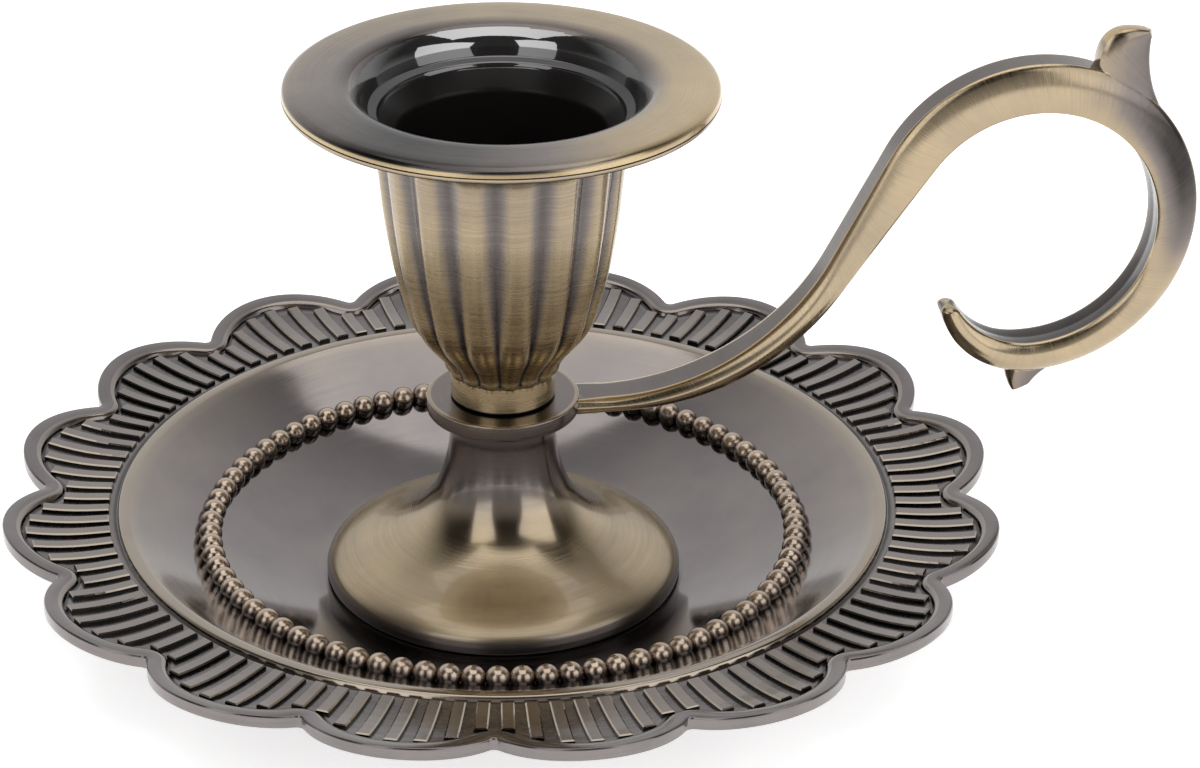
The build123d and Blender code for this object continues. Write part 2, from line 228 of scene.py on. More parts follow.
def clamped(value):
    """A value kept between 0 and 1."""
    return min(1.0, max(0.0, value))


def arc(centre, radius, start, end, steps):
    """Points on an arc between two angles, both ends with it."""
    return [
        (centre[0] + radius * cos(a), centre[1] + radius * sin(a)) for a in spaced(start, end, steps)
    ]


def bend(first, control, last, steps):
    """Points on a parabola from first to last that leaves towards control."""
    return [
        tuple(
            a * (1 - t) ** 2 + c * 2 * t * (1 - t) + b * t ** 2
            for a, c, b in zip(first, control, last)
        )
        for t in spaced(0, 1, steps)
    ]


def eased(corners, steps=4):
    """An open outline through (radius, height, easing) corners, each turned in a small curve."""
    outline = [corners[0][:2]]
    for before, corner, after in zip(corners, corners[1:], corners[2:]):
        point = Vector(corner[:2])
        back = Vector(before[:2]) - point
        on = Vector(after[:2]) - point
        ease = min(corner[2], back.length * 0.49, on.length * 0.49)
        if ease:
            outline += bend(point + back.normalized() * ease, point, point + on.normalized() * ease, steps)
        else:
            outline.append(tuple(point))
    outline.append(corners[-1][:2])
    return outline


def spaced_line(first, last, steps):
    return [tuple(a + (b - a) * t for a, b in zip(first, last)) for t in spaced(0, 1, steps)]


def flowing(points, steps):
    """A smooth curve through points."""
    ends = [points[0], *points, points[-1]]
    curve = []
    for a, b, c, d in zip(ends, ends[1:], ends[2:], ends[3:]):
        for i in range(steps):
            t = i / steps
            curve.append(tuple(
                0.5 * (2 * q + (r - p) * t + (2 * p - 5 * q + 4 * r - s) * t ** 2
                       + (3 * q - p - 3 * r + s) * t ** 3)
                for p, q, r, s in zip(a, b, c, d)
            ))
    curve.append(points[-1])
    return curve


def divided(outline, longest):
    """The same outline with points added on its long straight runs."""
    result = [outline[0]]
    for first, last in zip(outline, outline[1:]):
        pieces = max(1, round(dist(first, last) / longest))
        for t in spaced(0, 1, pieces)[1:]:
            result.append(tuple(a + (b - a) * t for a, b in zip(first, last)))
    return result


# Meshes and pieces

def store(mesh, name, values):
    """Keeps one number for each point of a mesh."""
    layer = mesh.attributes.get(name) or mesh.attributes.new(name, "FLOAT", "POINT")
    layer.data.foreach_set("value", values)


def outward(mesh):
    """Turns all faces outwards and shades them smooth between sharp edges."""
    work = bmesh.new()
    work.from_mesh(mesh)
    bmesh.ops.recalc_face_normals(work, faces=work.faces)
    work.to_mesh(mesh)
    work.free()
    mesh.shade_smooth()
    mesh.set_sharp_from_angle(angle=SHARP_ANGLE)


def shell(name, rows, patina, ring=False):
    """A closed skin over rows of points in millimetres; a row of one point closes an end.

    patina gives each row's points from 0, worn bright, to 1, black: patina in the hollows,
    and painted shade where a piece asks for it. Each point also keeps its distance along the rows, for
    the brush strokes. With ring, the last row joins the first.
    """
    points = []
    starts = []
    along = []
    tones = []
    travelled = 0.0
    for index, row in enumerate(rows):
        if index:
            travelled += dist(row[0], rows[index - 1][0])
        starts.append(len(points))
        points += [Vector(point) * MM for point in row]
        along += [travelled] * len(row)
        tones += patina[index] if isinstance(patina[index], list) else [patina[index]] * len(row)
    faces = []
    for lower in range(len(rows) if ring else len(rows) - 1):
        upper = (lower + 1) % len(rows)
        below = len(rows[lower])
        above = len(rows[upper])
        columns = max(below, above)
        for column in range(columns):
            beside = (column + 1) % columns
            corners = (
                starts[lower] + column % below, starts[lower] + beside % below,
                starts[upper] + beside % above, starts[upper] + column % above,
            )
            faces.append(list(dict.fromkeys(corners)))
    mesh = bpy.data.meshes.new(name)
    mesh.from_pydata(points, [], faces)
    store(mesh, "patina", tones)
    store(mesh, "along", along)
    outward(mesh)
    return mesh


def painted(stretches):
    """Joins outlines into one: its points, with the tone and the polish of each.

    A stretch is its points, its tones at both ends, and its polish from 0, brushed, to 1, mirror bright.
    """
    profile = []
    tones = []
    polish = []
    for points, first, last, sheen in stretches:
        for tone, point in zip(spaced(first, last, max(1, len(points) - 1)), points):
            if not profile or dist(profile[-1], point) > 0.001:
                profile.append(point)
                tones.append(tone)
                polish.append(sheen)
    return profile, tones, polish


def store_rows(mesh, name, rows, values):
    """Keeps one number for all the points of each row of a shell."""
    store(mesh, name, [value for row, value in zip(rows, values) for _ in row])


def turned(profile, columns):
    """Rows of points for an outline of (radius, height) turned about the axis."""
    rows = []
    for radius, height in profile:
        if radius == 0:
            rows.append([(0.0, 0.0, height)])
        else:
            rows.append([(radius * cos(a), radius * sin(a), height) for a in bearings(columns)])
    return rows


def evaluated(mesh, dress):
    """The plain mesh that a mesh becomes under the modifiers that dress adds to its object."""
    carrier = bpy.data.objects.new("carrier", mesh)
    dress(carrier)
    bpy.context.scene.collection.objects.link(carrier)
    graph = bpy.context.evaluated_depsgraph_get()
    result = bpy.data.meshes.new_from_object(
        carrier.evaluated_get(graph), preserve_all_data_layers=True, depsgraph=graph
    )
    bpy.data.objects.remove(carrier)
    return result


def grown(mesh, tree, inputs):
    """The plain mesh that a Geometry Nodes tree makes from a mesh."""
    def dress(carrier):
        modifier = carrier.modifiers.new(tree.name, "NODES")
        modifier.node_group = tree
        for item in tree.interface.items_tree:
            if item.name in inputs:
                modifier[item.identifier] = inputs[item.name]
    return evaluated(mesh, dress)


def joined(mesh, other, operation):
    """Two closed meshes as one, welded or cut."""
    tool = bpy.data.objects.new("tool", other)
    bpy.context.scene.collection.objects.link(tool)

    def dress(carrier):
        modifier = carrier.modifiers.new(operation, "BOOLEAN")
        modifier.operation = operation
        modifier.solver = "EXACT"
        modifier.object = tool
    result = evaluated(mesh, dress)
    bpy.data.objects.remove(tool)
    return result


def fit(name, mesh, material, body, node):
    """Adds a finished mesh as a piece that stands for a CAD node."""
    mesh.materials.clear()
    mesh.materials.append(material)
    piece = bpy.data.objects.new(name, mesh)
    bpy.context.scene.collection.objects.link(piece)
    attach(piece, body)
    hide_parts(node)


def add_node(tree, kind, inputs=None, **options):
    """Adds a node with its options, and sets or links its inputs; a node stands for its first output."""
    made = tree.nodes.new(kind)
    for key, value in options.items():
        setattr(made, key, value)
    for key, value in (inputs or {}).items():
        if isinstance(value, bpy.types.Node):
            value = value.outputs[0]
        if isinstance(value, bpy.types.NodeSocket):
            tree.links.new(value, made.inputs[key])
        else:
            made.inputs[key].default_value = value
    return made


# Finishes, with lengths in millimetres

STROKE_LENGTH = 10.0  # how far a brush stroke runs on
STROKE_DEPTH = 0.03
STROKE_RELIEF = 0.18  # strength of the strokes on metal without polish
GRIT = 0.07  # change of roughness from stroke to stroke
BUFFING = 0.75  # share of the roughness that full polish takes away
CLOUD_SIZE = 7.0  # width of a cloud of patina
RIPPLE_LENGTH = 4.0  # width of a ripple in the lacquer
RIPPLE_DEPTH = 0.2
SPANGLE_SIZE = 1.0


def new_material(name):
    """An empty material with its node tree."""
    material = bpy.data.materials.new(name)
    material.use_nodes = True
    material.node_tree.nodes.clear()
    return material, material.node_tree


def antiqued_brass(name, worn, aged, black, stroke, stroke_tone, mottle_tone, gloss, coat, turned_grain):
    """Antiqued cast brass: brushed bright on what stands out, brown to black in the hollows, lacquered.

    To the eye: fine strokes that follow the tool, cloudy brown patina, a clear glossy coat that keeps
    small sharp reflections over the satin metal. stroke is the width of one stroke in millimetres, and
    stroke_tone and mottle_tone are how far strokes and clouds change the tone.
    """
    material, tree = new_material(name)
    place = add_node(tree, "ShaderNodeTexCoord").outputs["Object"]
    along = add_node(tree, "ShaderNodeAttribute", attribute_name="along").outputs["Fac"]
    # Tone from the mesh: patina, and painted shade on some pieces
    patina = add_node(tree, "ShaderNodeAttribute", attribute_name="patina").outputs["Fac"]
    polish = add_node(tree, "ShaderNodeAttribute", attribute_name="polish").outputs["Fac"]
    brushed = add_node(tree, "ShaderNodeMath", {0: 1.0, 1: polish}, operation="SUBTRACT")

    stroke_place = add_node(
        tree, "ShaderNodeVectorMath", {0: place, "Scale": 1 / (STROKE_LENGTH * MM)}, operation="SCALE"
    )
    stroke_count = add_node(tree, "ShaderNodeMath", {0: along, 1: 1 / stroke}, operation="MULTIPLY")
    strokes = add_node(
        tree, "ShaderNodeTexNoise",
        {"Vector": stroke_place, "W": stroke_count, "Scale": 1.0, "Detail": 2.0, "Roughness": 0.6},
        noise_dimensions="4D",
    )
    clouds = add_node(
        tree, "ShaderNodeTexNoise",
        {"Vector": place, "Scale": 1 / (CLOUD_SIZE * MM), "Detail": 4.0, "Roughness": 0.6},
    )

    stroke_shift = add_node(
        tree, "ShaderNodeMath", {0: strokes, 1: stroke_tone, 2: -stroke_tone / 2}, operation="MULTIPLY_ADD"
    )
    cloud_shift = add_node(
        tree, "ShaderNodeMath", {0: clouds, 1: mottle_tone, 2: -mottle_tone / 2}, operation="MULTIPLY_ADD"
    )
    shift = add_node(
        tree, "ShaderNodeMath", {0: stroke_shift, 1: brushed, 2: cloud_shift}, operation="MULTIPLY_ADD"
    )
    tone = add_node(tree, "ShaderNodeMath", {0: patina, 1: shift}, operation="ADD", use_clamp=True)

    ramp = add_node(tree, "ShaderNodeValToRGB", {"Fac": tone})
    ramp.color_ramp.elements[0].color = worn
    ramp.color_ramp.elements[1].color = black
    ramp.color_ramp.elements.new(0.5).color = aged

    grit = add_node(
        tree, "ShaderNodeMapRange",
        {"Value": strokes, "From Min": 0.3, "From Max": 0.7, "To Min": gloss - GRIT, "To Max": gloss + GRIT},
    )
    buffed = add_node(tree, "ShaderNodeMath", {0: polish, 1: -BUFFING, 2: 1.0}, operation="MULTIPLY_ADD")
    roughness = add_node(tree, "ShaderNodeMath", {0: grit, 1: buffed}, operation="MULTIPLY")
    depth = add_node(tree, "ShaderNodeMath", {0: brushed, 1: STROKE_RELIEF}, operation="MULTIPLY")
    relief = add_node(
        tree, "ShaderNodeBump", {"Height": strokes, "Strength": depth, "Distance": STROKE_DEPTH * MM}
    )
    surface = {
        "Base Color": ramp, "Metallic": 1.0, "Roughness": roughness, "Normal": relief,
        "Coat Weight": coat, "Coat Roughness": 0.06,
    }
    if turned_grain:
        # Highlights are drawn out across the turning marks
        surface["Tangent"] = add_node(tree, "ShaderNodeTangent", direction_type="RADIAL", axis="Z")
        surface["Anisotropic"] = turned_grain
        surface["Anisotropic Rotation"] = 0.25
    metal = add_node(tree, "ShaderNodeBsdfPrincipled", surface)
    add_node(tree, "ShaderNodeOutputMaterial", {"Surface": metal})
    return material


def black_lacquer(name, black, brown):
    """Black stoving lacquer over brass: deep black, mirror bright, with a faint ripple and brown haze."""
    material, tree = new_material(name)
    place = add_node(tree, "ShaderNodeTexCoord").outputs["Object"]
    polish = add_node(tree, "ShaderNodeAttribute", attribute_name="polish").outputs["Fac"]
    ripple = add_node(
        tree, "ShaderNodeTexNoise", {"Vector": place, "Scale": 1 / (RIPPLE_LENGTH * MM), "Detail": 3.0}
    )
    shade = add_node(tree, "ShaderNodeMix", {0: ripple, 6: black, 7: brown}, data_type="RGBA").outputs[2]
    roughness = add_node(tree, "ShaderNodeMapRange", {"Value": ripple, "To Min": 0.2, "To Max": 0.4})
    relief = add_node(
        tree, "ShaderNodeBump", {"Height": ripple, "Strength": 0.12, "Distance": RIPPLE_DEPTH * MM}
    )
    lacquer = add_node(
        tree, "ShaderNodeBsdfPrincipled",
        {
            "Base Color": shade, "Roughness": roughness, "Normal": relief, "Coat Normal": relief,
            "Specular IOR Level": 0.15,
            "Coat Weight": polish, "Coat Roughness": 0.04, "Coat IOR": 4.2,
        },
    )
    add_node(tree, "ShaderNodeOutputMaterial", {"Surface": lacquer})
    return material


def zinc_plated_steel(name, zinc):
    """Zinc-plated steel: pale bluish grey, slightly cloudy, with a soft gloss."""
    material, tree = new_material(name)
    place = add_node(tree, "ShaderNodeTexCoord").outputs["Object"]
    # Spangle of the plating, drawn about a millimetre across so that it shows
    spangle = add_node(
        tree, "ShaderNodeTexNoise", {"Vector": place, "Scale": 1 / (SPANGLE_SIZE * MM), "Detail": 3.0}
    )
    shade = add_node(
        tree, "ShaderNodeMix", {0: spangle, 6: [c * 0.75 for c in zinc[:3]] + [1.0], 7: zinc},
        data_type="RGBA",
    ).outputs[2]
    roughness = add_node(tree, "ShaderNodeMapRange", {"Value": spangle, "To Min": 0.22, "To Max": 0.42})
    metal = add_node(
        tree, "ShaderNodeBsdfPrincipled", {"Base Color": shade, "Metallic": 1.0, "Roughness": roughness}
    )
    add_node(tree, "ShaderNodeOutputMaterial", {"Surface": metal})
    return material


# Geometry Nodes trees

def new_tree(name, inputs):
    """A tree with a geometry in and out and named inputs, and the sockets that give those inputs."""
    tree = bpy.data.node_groups.new(name, "GeometryNodeTree")
    tree.interface.new_socket("Geometry", in_out="INPUT", socket_type="NodeSocketGeometry")
    for key, kind in inputs.items():
        tree.interface.new_socket(key, in_out="INPUT", socket_type="NodeSocket" + kind)
    tree.interface.new_socket("Geometry", in_out="OUTPUT", socket_type="NodeSocketGeometry")
    return tree, add_node(tree, "NodeGroupInput").outputs


def finish_tree(tree, geometry, material):
    """Ends a tree in real geometry with its material."""
    real = add_node(tree, "GeometryNodeRealizeInstances", {"Geometry": geometry})
    dressed = add_node(tree, "GeometryNodeSetMaterial", {"Geometry": real, "Material": material})
    add_node(tree, "NodeGroupOutput", {"Geometry": dressed})


RIB_TOP = (0.965, 0.78, 1.0)  # a rib's flat top as a share of its foot
# Rib sides: patina and painted shade
RIB_SIDE_PATINA_AND_SHADE = 0.92
RIB_TOP_TONE = 0.42
# Bevel slopes: worn bright, with a painted highlight
RIB_EDGE_WEAR_AND_HIGHLIGHT = 0.04
RIB_EDGE_POLISH = 0.7


def rib_tree():
    """Bevelled ribs laid on points that carry each rib's length and turn."""
    tree, given = new_tree(
        "Plate Ribs",
        {
            "Width": "Float", "Height": "Float", "Bevel": "Float", "Flare Radius": "Float",
            "Flare Bow": "Float", "Material": "Material",
        },
    )
    side = add_node(tree, "ShaderNodeMath", {0: given["Height"], 1: given["Bevel"]}, operation="SUBTRACT")
    block = add_node(tree, "ShaderNodeCombineXYZ", {"X": 1.0, "Y": given["Width"], "Z": side})
    bar = add_node(tree, "GeometryNodeMeshCube", {"Size": block, "Vertices X": 7})
    half = add_node(tree, "ShaderNodeMath", {0: side, 1: 0.5}, operation="MULTIPLY")
    lift = add_node(tree, "ShaderNodeCombineXYZ", {"Z": half})
    seated = add_node(tree, "GeometryNodeTransform", {"Geometry": bar, "Translation": lift})
    normal = add_node(tree, "ShaderNodeSeparateXYZ", {0: add_node(tree, "GeometryNodeInputNormal")})
    upper = add_node(
        tree, "FunctionNodeCompare", {0: normal.outputs["Z"], 1: 0.5}, data_type="FLOAT",
        operation="GREATER_THAN",
    )
    raised = add_node(
        tree, "GeometryNodeExtrudeMesh",
        {"Mesh": seated, "Selection": upper, "Offset Scale": given["Bevel"], "Individual": False},
    )
    narrowed = add_node(
        tree, "ShaderNodeVectorMath", {0: add_node(tree, "GeometryNodeInputPosition"), 1: RIB_TOP},
        operation="MULTIPLY",
    )
    bevelled = add_node(
        tree, "GeometryNodeSetPosition",
        {"Geometry": raised, "Selection": raised.outputs["Top"], "Position": narrowed},
    )
    # The sides are painted dark, patina with painted shade; the tops are rubbed; the slopes between them are
    # painted bright, worn edges with a painted highlight
    tone = add_node(
        tree, "ShaderNodeMath",
        {0: raised.outputs["Top"], 1: RIB_TOP_TONE - RIB_SIDE_PATINA_AND_SHADE, 2: RIB_SIDE_PATINA_AND_SHADE},
        operation="MULTIPLY_ADD",
    )
    worn_and_highlit = add_node(
        tree, "ShaderNodeMath",
        {0: raised.outputs["Side"], 1: RIB_EDGE_WEAR_AND_HIGHLIGHT - RIB_SIDE_PATINA_AND_SHADE, 2: tone}, operation="MULTIPLY_ADD",
    )
    gleam = add_node(
        tree, "ShaderNodeMath", {0: raised.outputs["Side"], 1: RIB_EDGE_POLISH}, operation="MULTIPLY"
    )
    rubbed = bevelled
    for name, value in (("patina", worn_and_highlit), ("polish", gleam)):
        rubbed = add_node(
            tree, "GeometryNodeStoreNamedAttribute", {"Geometry": rubbed, "Name": name, "Value": value},
            data_type="FLOAT", domain="FACE",
        )
    length = add_node(tree, "GeometryNodeInputNamedAttribute", {"Name": "length"}, data_type="FLOAT")
    turn = add_node(tree, "GeometryNodeInputNamedAttribute", {"Name": "turn"}, data_type="FLOAT")
    heading = add_node(tree, "ShaderNodeCombineXYZ", {"Z": turn})
    stretch = add_node(tree, "ShaderNodeCombineXYZ", {"X": length, "Y": 1.0, "Z": 1.0})
    ribs = add_node(
        tree, "GeometryNodeInstanceOnPoints",
        {
            "Points": given["Geometry"], "Instance": rubbed, "Scale": stretch,
            "Rotation": add_node(tree, "FunctionNodeEulerToRotation", {0: heading}),
        },
    )
    laid = add_node(tree, "GeometryNodeRealizeInstances", {"Geometry": ribs})
    # Each rib curves upwards with the field under it
    place = add_node(tree, "ShaderNodeSeparateXYZ", {0: add_node(tree, "GeometryNodeInputPosition")})
    level_place = add_node(tree, "ShaderNodeCombineXYZ", {"X": place.outputs["X"], "Y": place.outputs["Y"]})
    radius = add_node(tree, "ShaderNodeVectorMath", {0: level_place}, operation="LENGTH")
    past = add_node(
        tree, "ShaderNodeMath", {0: radius.outputs["Value"], 1: given["Flare Radius"]}, operation="SUBTRACT"
    )
    beyond = add_node(tree, "ShaderNodeMath", {0: past, 1: 0.0}, operation="MAXIMUM")
    squared = add_node(tree, "ShaderNodeMath", {0: beyond, 1: 2.0}, operation="POWER")
    rise = add_node(tree, "ShaderNodeMath", {0: squared, 1: given["Flare Bow"]}, operation="MULTIPLY")
    curve = add_node(tree, "ShaderNodeCombineXYZ", {"Z": rise})
    flared = add_node(tree, "GeometryNodeSetPosition", {"Geometry": laid, "Offset": curve})
    finish_tree(tree, flared, given["Material"])
    return tree


def bead_tree():
    """A ring of beads, lighter on top, rubbed and with a painted highlight, and darker down their lower
    halves in painted shade where they meet the dish.
    """
    tree, given = new_tree(
        "Plate Beads",
        {
            "Beads": "Int", "Ring Radius": "Float", "Bead Radius": "Float", "Height": "Float",
            "Turn": "Float", "Material": "Material",
        },
    )
    ring = add_node(
        tree, "GeometryNodeMeshCircle", {"Vertices": given["Beads"], "Radius": given["Ring Radius"]}
    )
    lift = add_node(tree, "ShaderNodeCombineXYZ", {"Z": given["Height"]})
    heading = add_node(tree, "ShaderNodeCombineXYZ", {"Z": given["Turn"]})
    seated = add_node(
        tree, "GeometryNodeTransform",
        {
            "Geometry": ring, "Translation": lift,
            "Rotation": add_node(tree, "FunctionNodeEulerToRotation", {0: heading}),
        },
    )
    bead = add_node(
        tree, "GeometryNodeMeshUVSphere", {"Segments": 16, "Rings": 10, "Radius": given["Bead Radius"]}
    )
    smooth = add_node(tree, "GeometryNodeSetShadeSmooth", {"Geometry": bead})
    height = add_node(tree, "ShaderNodeSeparateXYZ", {0: add_node(tree, "GeometryNodeInputPosition")})
    level = add_node(
        tree, "ShaderNodeMath", {0: height.outputs["Z"], 1: given["Bead Radius"]}, operation="DIVIDE"
    )
    # Painted light on each bead by height: a painted highlight on top, painted shade below
    tone = add_node(
        tree, "ShaderNodeMapRange",
        {"Value": level, "From Min": -0.7, "From Max": 0.6, "To Min": 0.85, "To Max": 0.1},
    )
    toned = add_node(
        tree, "GeometryNodeStoreNamedAttribute", {"Geometry": smooth, "Name": "patina", "Value": tone},
        data_type="FLOAT", domain="POINT",
    )
    beads = add_node(tree, "GeometryNodeInstanceOnPoints", {"Points": seated, "Instance": toned})
    finish_tree(tree, beads, given["Material"])
    return tree


def round_the_axis(tree):
    """The angle about the axis as a share of a turn, the position and the height, inside a tree."""
    position = add_node(tree, "GeometryNodeInputPosition")
    parts = add_node(tree, "ShaderNodeSeparateXYZ", {0: position}).outputs
    bearing = add_node(tree, "ShaderNodeMath", {0: parts["Y"], 1: parts["X"]}, operation="ARCTAN2")
    share = add_node(tree, "ShaderNodeMath", {0: bearing, 1: 1 / tau}, operation="MULTIPLY")
    return share, position, parts["Z"]


def zigzag(tree, value):
    """A wave that is 1 at each whole number and 0 halfway between."""
    within = add_node(tree, "ShaderNodeMath", {0: value}, operation="FRACT")
    swing = add_node(tree, "ShaderNodeMath", {0: within, 1: 2.0, 2: -1.0}, operation="MULTIPLY_ADD")
    return add_node(tree, "ShaderNodeMath", {0: swing}, operation="ABSOLUTE")


def drawn_in(tree, geometry, position, scale):
    """Moves points towards the axis by a scale."""
    across = add_node(tree, "ShaderNodeCombineXYZ", {"X": scale, "Y": scale, "Z": 1.0})
    moved = add_node(tree, "ShaderNodeVectorMath", {0: position, 1: across}, operation="MULTIPLY")
    return add_node(tree, "GeometryNodeSetPosition", {"Geometry": geometry, "Position": moved})


def reeding_tree():
    """Draws grooves into a plain tulip: lobes between them, deepest where the mesh says.

    The mesh carries each point's groove depth, how soft the groove is, how dark it is, where its shade
    starts and the least share of the radius that is left, which rounds the lobes' ends on the stem.
    """
    tree, given = new_tree("Cup Reeding", {"Reeds": "Float", "Turn": "Float", "Material": "Material"})
    share, position, _ = round_the_axis(tree)
    start = add_node(tree, "ShaderNodeMath", {0: given["Turn"], 1: -1 / tau}, operation="MULTIPLY")
    bearing = add_node(tree, "ShaderNodeMath", {0: share, 1: start}, operation="ADD")
    lobe = add_node(tree, "ShaderNodeMath", {0: bearing, 1: given["Reeds"]}, operation="MULTIPLY")
    off_crest = zigzag(tree, lobe)
    kept = {
        key: add_node(tree, "GeometryNodeInputNamedAttribute", {"Name": key}, data_type="FLOAT")
        for key in ("reed_depth", "reed_soft", "reed_floor", "reed_dark", "reed_edge", "patina")
    }
    # Low down the grooves are sharp creases, higher up they are soft hollows
    crease = add_node(tree, "ShaderNodeMath", {0: off_crest, 1: 2.2}, operation="POWER")
    hollow = add_node(
        tree, "ShaderNodeMapRange", {"Value": off_crest, "From Min": 0.2}, interpolation_type="SMOOTHSTEP"
    )
    curve = add_node(tree, "ShaderNodeMix", {0: kept["reed_soft"], 2: crease, 3: hollow})
    cut = add_node(tree, "ShaderNodeMath", {0: curve, 1: kept["reed_depth"]}, operation="MULTIPLY")
    left = add_node(tree, "ShaderNodeMath", {0: 1.0, 1: cut}, operation="SUBTRACT")
    scale = add_node(tree, "ShaderNodeMath", {0: left, 1: kept["reed_floor"]}, operation="MAXIMUM")
    shaped = drawn_in(tree, given["Geometry"], position, scale)
    shade = add_node(
        tree, "ShaderNodeMapRange",
        {"Value": off_crest, "From Min": kept["reed_edge"], "From Max": 1.0, "To Max": kept["reed_dark"]},
        interpolation_type="SMOOTHSTEP",
    )
    tone = add_node(tree, "ShaderNodeMath", {0: kept["patina"], 1: shade}, operation="ADD", use_clamp=True)
    toned = add_node(
        tree, "GeometryNodeStoreNamedAttribute", {"Geometry": shaped, "Name": "patina", "Value": tone},
        data_type="FLOAT", domain="POINT",
    )
    finish_tree(tree, toned, given["Material"])
    return tree


def thread_tree():
    """Cuts a screw thread into a plain shank where the mesh says."""
    tree, given = new_tree("Screw Thread", {"Pitch": "Float", "Material": "Material"})
    share, position, height = round_the_axis(tree)
    turns = add_node(tree, "ShaderNodeMath", {0: height, 1: given["Pitch"]}, operation="DIVIDE")
    phase = add_node(tree, "ShaderNodeMath", {0: turns, 1: share}, operation="SUBTRACT")
    flank = zigzag(tree, phase)
    depth = add_node(tree, "GeometryNodeInputNamedAttribute", {"Name": "thread"}, data_type="FLOAT")
    cut = add_node(tree, "ShaderNodeMath", {0: flank, 1: depth}, operation="MULTIPLY")
    scale = add_node(tree, "ShaderNodeMath", {0: 1.0, 1: cut}, operation="SUBTRACT")
    finish_tree(tree, drawn_in(tree, given["Geometry"], position, scale), given["Material"])
    return tree


# Drip plate, with lengths in millimetres

RECESS_RADIUS = 5.2  # the screw head's recess under the plate
RECESS_HEIGHT = 4.4
RING_FOOT = 0.27  # inner foot of the smooth ring above the field
RIB_START = 0.95  # smooth ring to the ribs' inner ends
RIB_GAP = 0.45  # ribs' outer ends to the border


def scalloped_edge(plate, petal_steps, notch_steps):
    """Points round the rim with their outward normals: petal arcs joined by small hollow arcs."""
    half = pi / plate.petals
    crest = plate.notch_radius + plate.petal_rise
    centre = (crest ** 2 - plate.notch_radius ** 2) / (2 * (crest - plate.notch_radius * cos(half)))
    petal_radius = crest - centre
    reach = petal_radius + plate.notch_round
    notch_centre = centre * cos(half) + sqrt(reach ** 2 - (centre * sin(half)) ** 2)
    touch = atan2(notch_centre * sin(half), notch_centre * cos(half) - centre)
    edge = []
    for petal in range(plate.petals):
        heading = plate.turn + half + petal * 2 * half
        hub = Vector((cos(heading), sin(heading))) * centre
        for a in spaced(-touch, touch, petal_steps)[:-1]:
            normal = Vector((cos(heading + a), sin(heading + a)))
            edge.append((hub + normal * petal_radius, normal))
        notch = Vector((cos(heading + half), sin(heading + half))) * notch_centre
        for a in spaced(touch + pi, 2 * half - touch + pi, notch_steps)[:-1]:
            inward = Vector((cos(heading + a), sin(heading + a)))
            edge.append((notch + inward * plate.notch_round, -inward))
    return edge


def rib_heading(plate, rib):
    """Angle of one rib, counted from the notch nearest the handle."""
    return plate.turn + (rib + 0.5) * tau / (plate.petals * plate.ribs_per_petal)


def rib_ends(plate, first, gap):
    """Outer ends of one petal's ribs: where each meets the border's inner edge, less a gap."""
    inset = plate.border_width + gap
    fine_edge = scalloped_edge(plate, petal_steps=60, notch_steps=12)
    edge = [point - normal * inset for point, normal in fine_edge]
    reach = {}
    for rib in range(plate.ribs_per_petal):
        heading = rib_heading(plate, rib)
        ray = Vector((cos(heading), sin(heading)))
        ahead = [point for point in edge if point.dot(ray) > first]
        nearest = sorted(ahead, key=lambda point: abs(point.x * ray.y - point.y * ray.x))[:3]
        reach[rib] = min(point.dot(ray) for point in nearest)
    return reach


def flare_bow(plate):
    """Rise of the field over the square of the distance from where its flare starts."""
    reach = plate.notch_radius + plate.petal_rise - plate.flare_radius
    return plate.flare_rise / reach ** 2


def flare(plate, radius):
    """Rise of the field, and of all that stands on it, at a distance from the axis."""
    return flare_bow(plate) * max(0.0, radius - plate.flare_radius) ** 2


def dish_slope(plate):
    """Start, control point and end of the dish's hollow slope, and the way through its wall."""
    floor = Vector((plate.floor_radius, plate.wall))
    inner = Vector((plate.ring_radius - plate.ring_width, plate.field_height + RING_FOOT))
    run = (inner - floor).normalized()
    through = Vector((run.y, -run.x))
    return floor, (floor + inner) / 2 + through * 2 * plate.sag, inner, through * plate.wall


def dish_outline(plate):
    """The plate's upper side from its centre hole to the ribbed field, with tones and polish."""
    field = plate.field_height
    ring = plate.ring_radius
    lip = field + plate.ring_height
    floor, low, inner, _ = dish_slope(plate)
    slope = bend(floor, low, inner, 20)
    foot = (floor.x - 0.8, floor.y)
    seat_radius = RECESS_RADIUS + plate.wall
    seat = RECESS_HEIGHT + plate.wall
    middle = eased([
        (SCREW_HOLE, seat, 0), (seat_radius, seat, 0.3), (seat_radius, plate.wall, 0.3), (*foot, 0),
    ])
    return painted([
        # Seat over the recess, and the floor
        (divided(middle, 0.8), 0.5, 0.5, 0.0),
        # Edge of the floor, and the slope
        (bend(foot, floor, slope[1], 4), 0.5, 0.5, 0.9),
        (slope[1:14], 0.5, 0.5, 0.85),
        (slope[13:20], 0.5, 0.38, 0.7),
        # Smooth ring
        (eased([
            (*slope[19], 0), (inner.x + 0.25, inner.y + 0.1, 0.3), (ring - 0.85, lip, 0.5),
            (ring - 0.1, lip, 0.35), (ring + 0.1, field - 0.06, 0),
        ]), 0.22, 0.06, 0.5),
        # Dark crease at the ring's outer foot
        (eased([
            (ring + 0.15, field - 0.06, 0), (ring + 0.4, field - 0.06, 0.12), (ring + 0.55, field, 0.1),
            (ring + 0.7, field, 0),
        ]), 0.95, 0.6, 0.0),
    ])


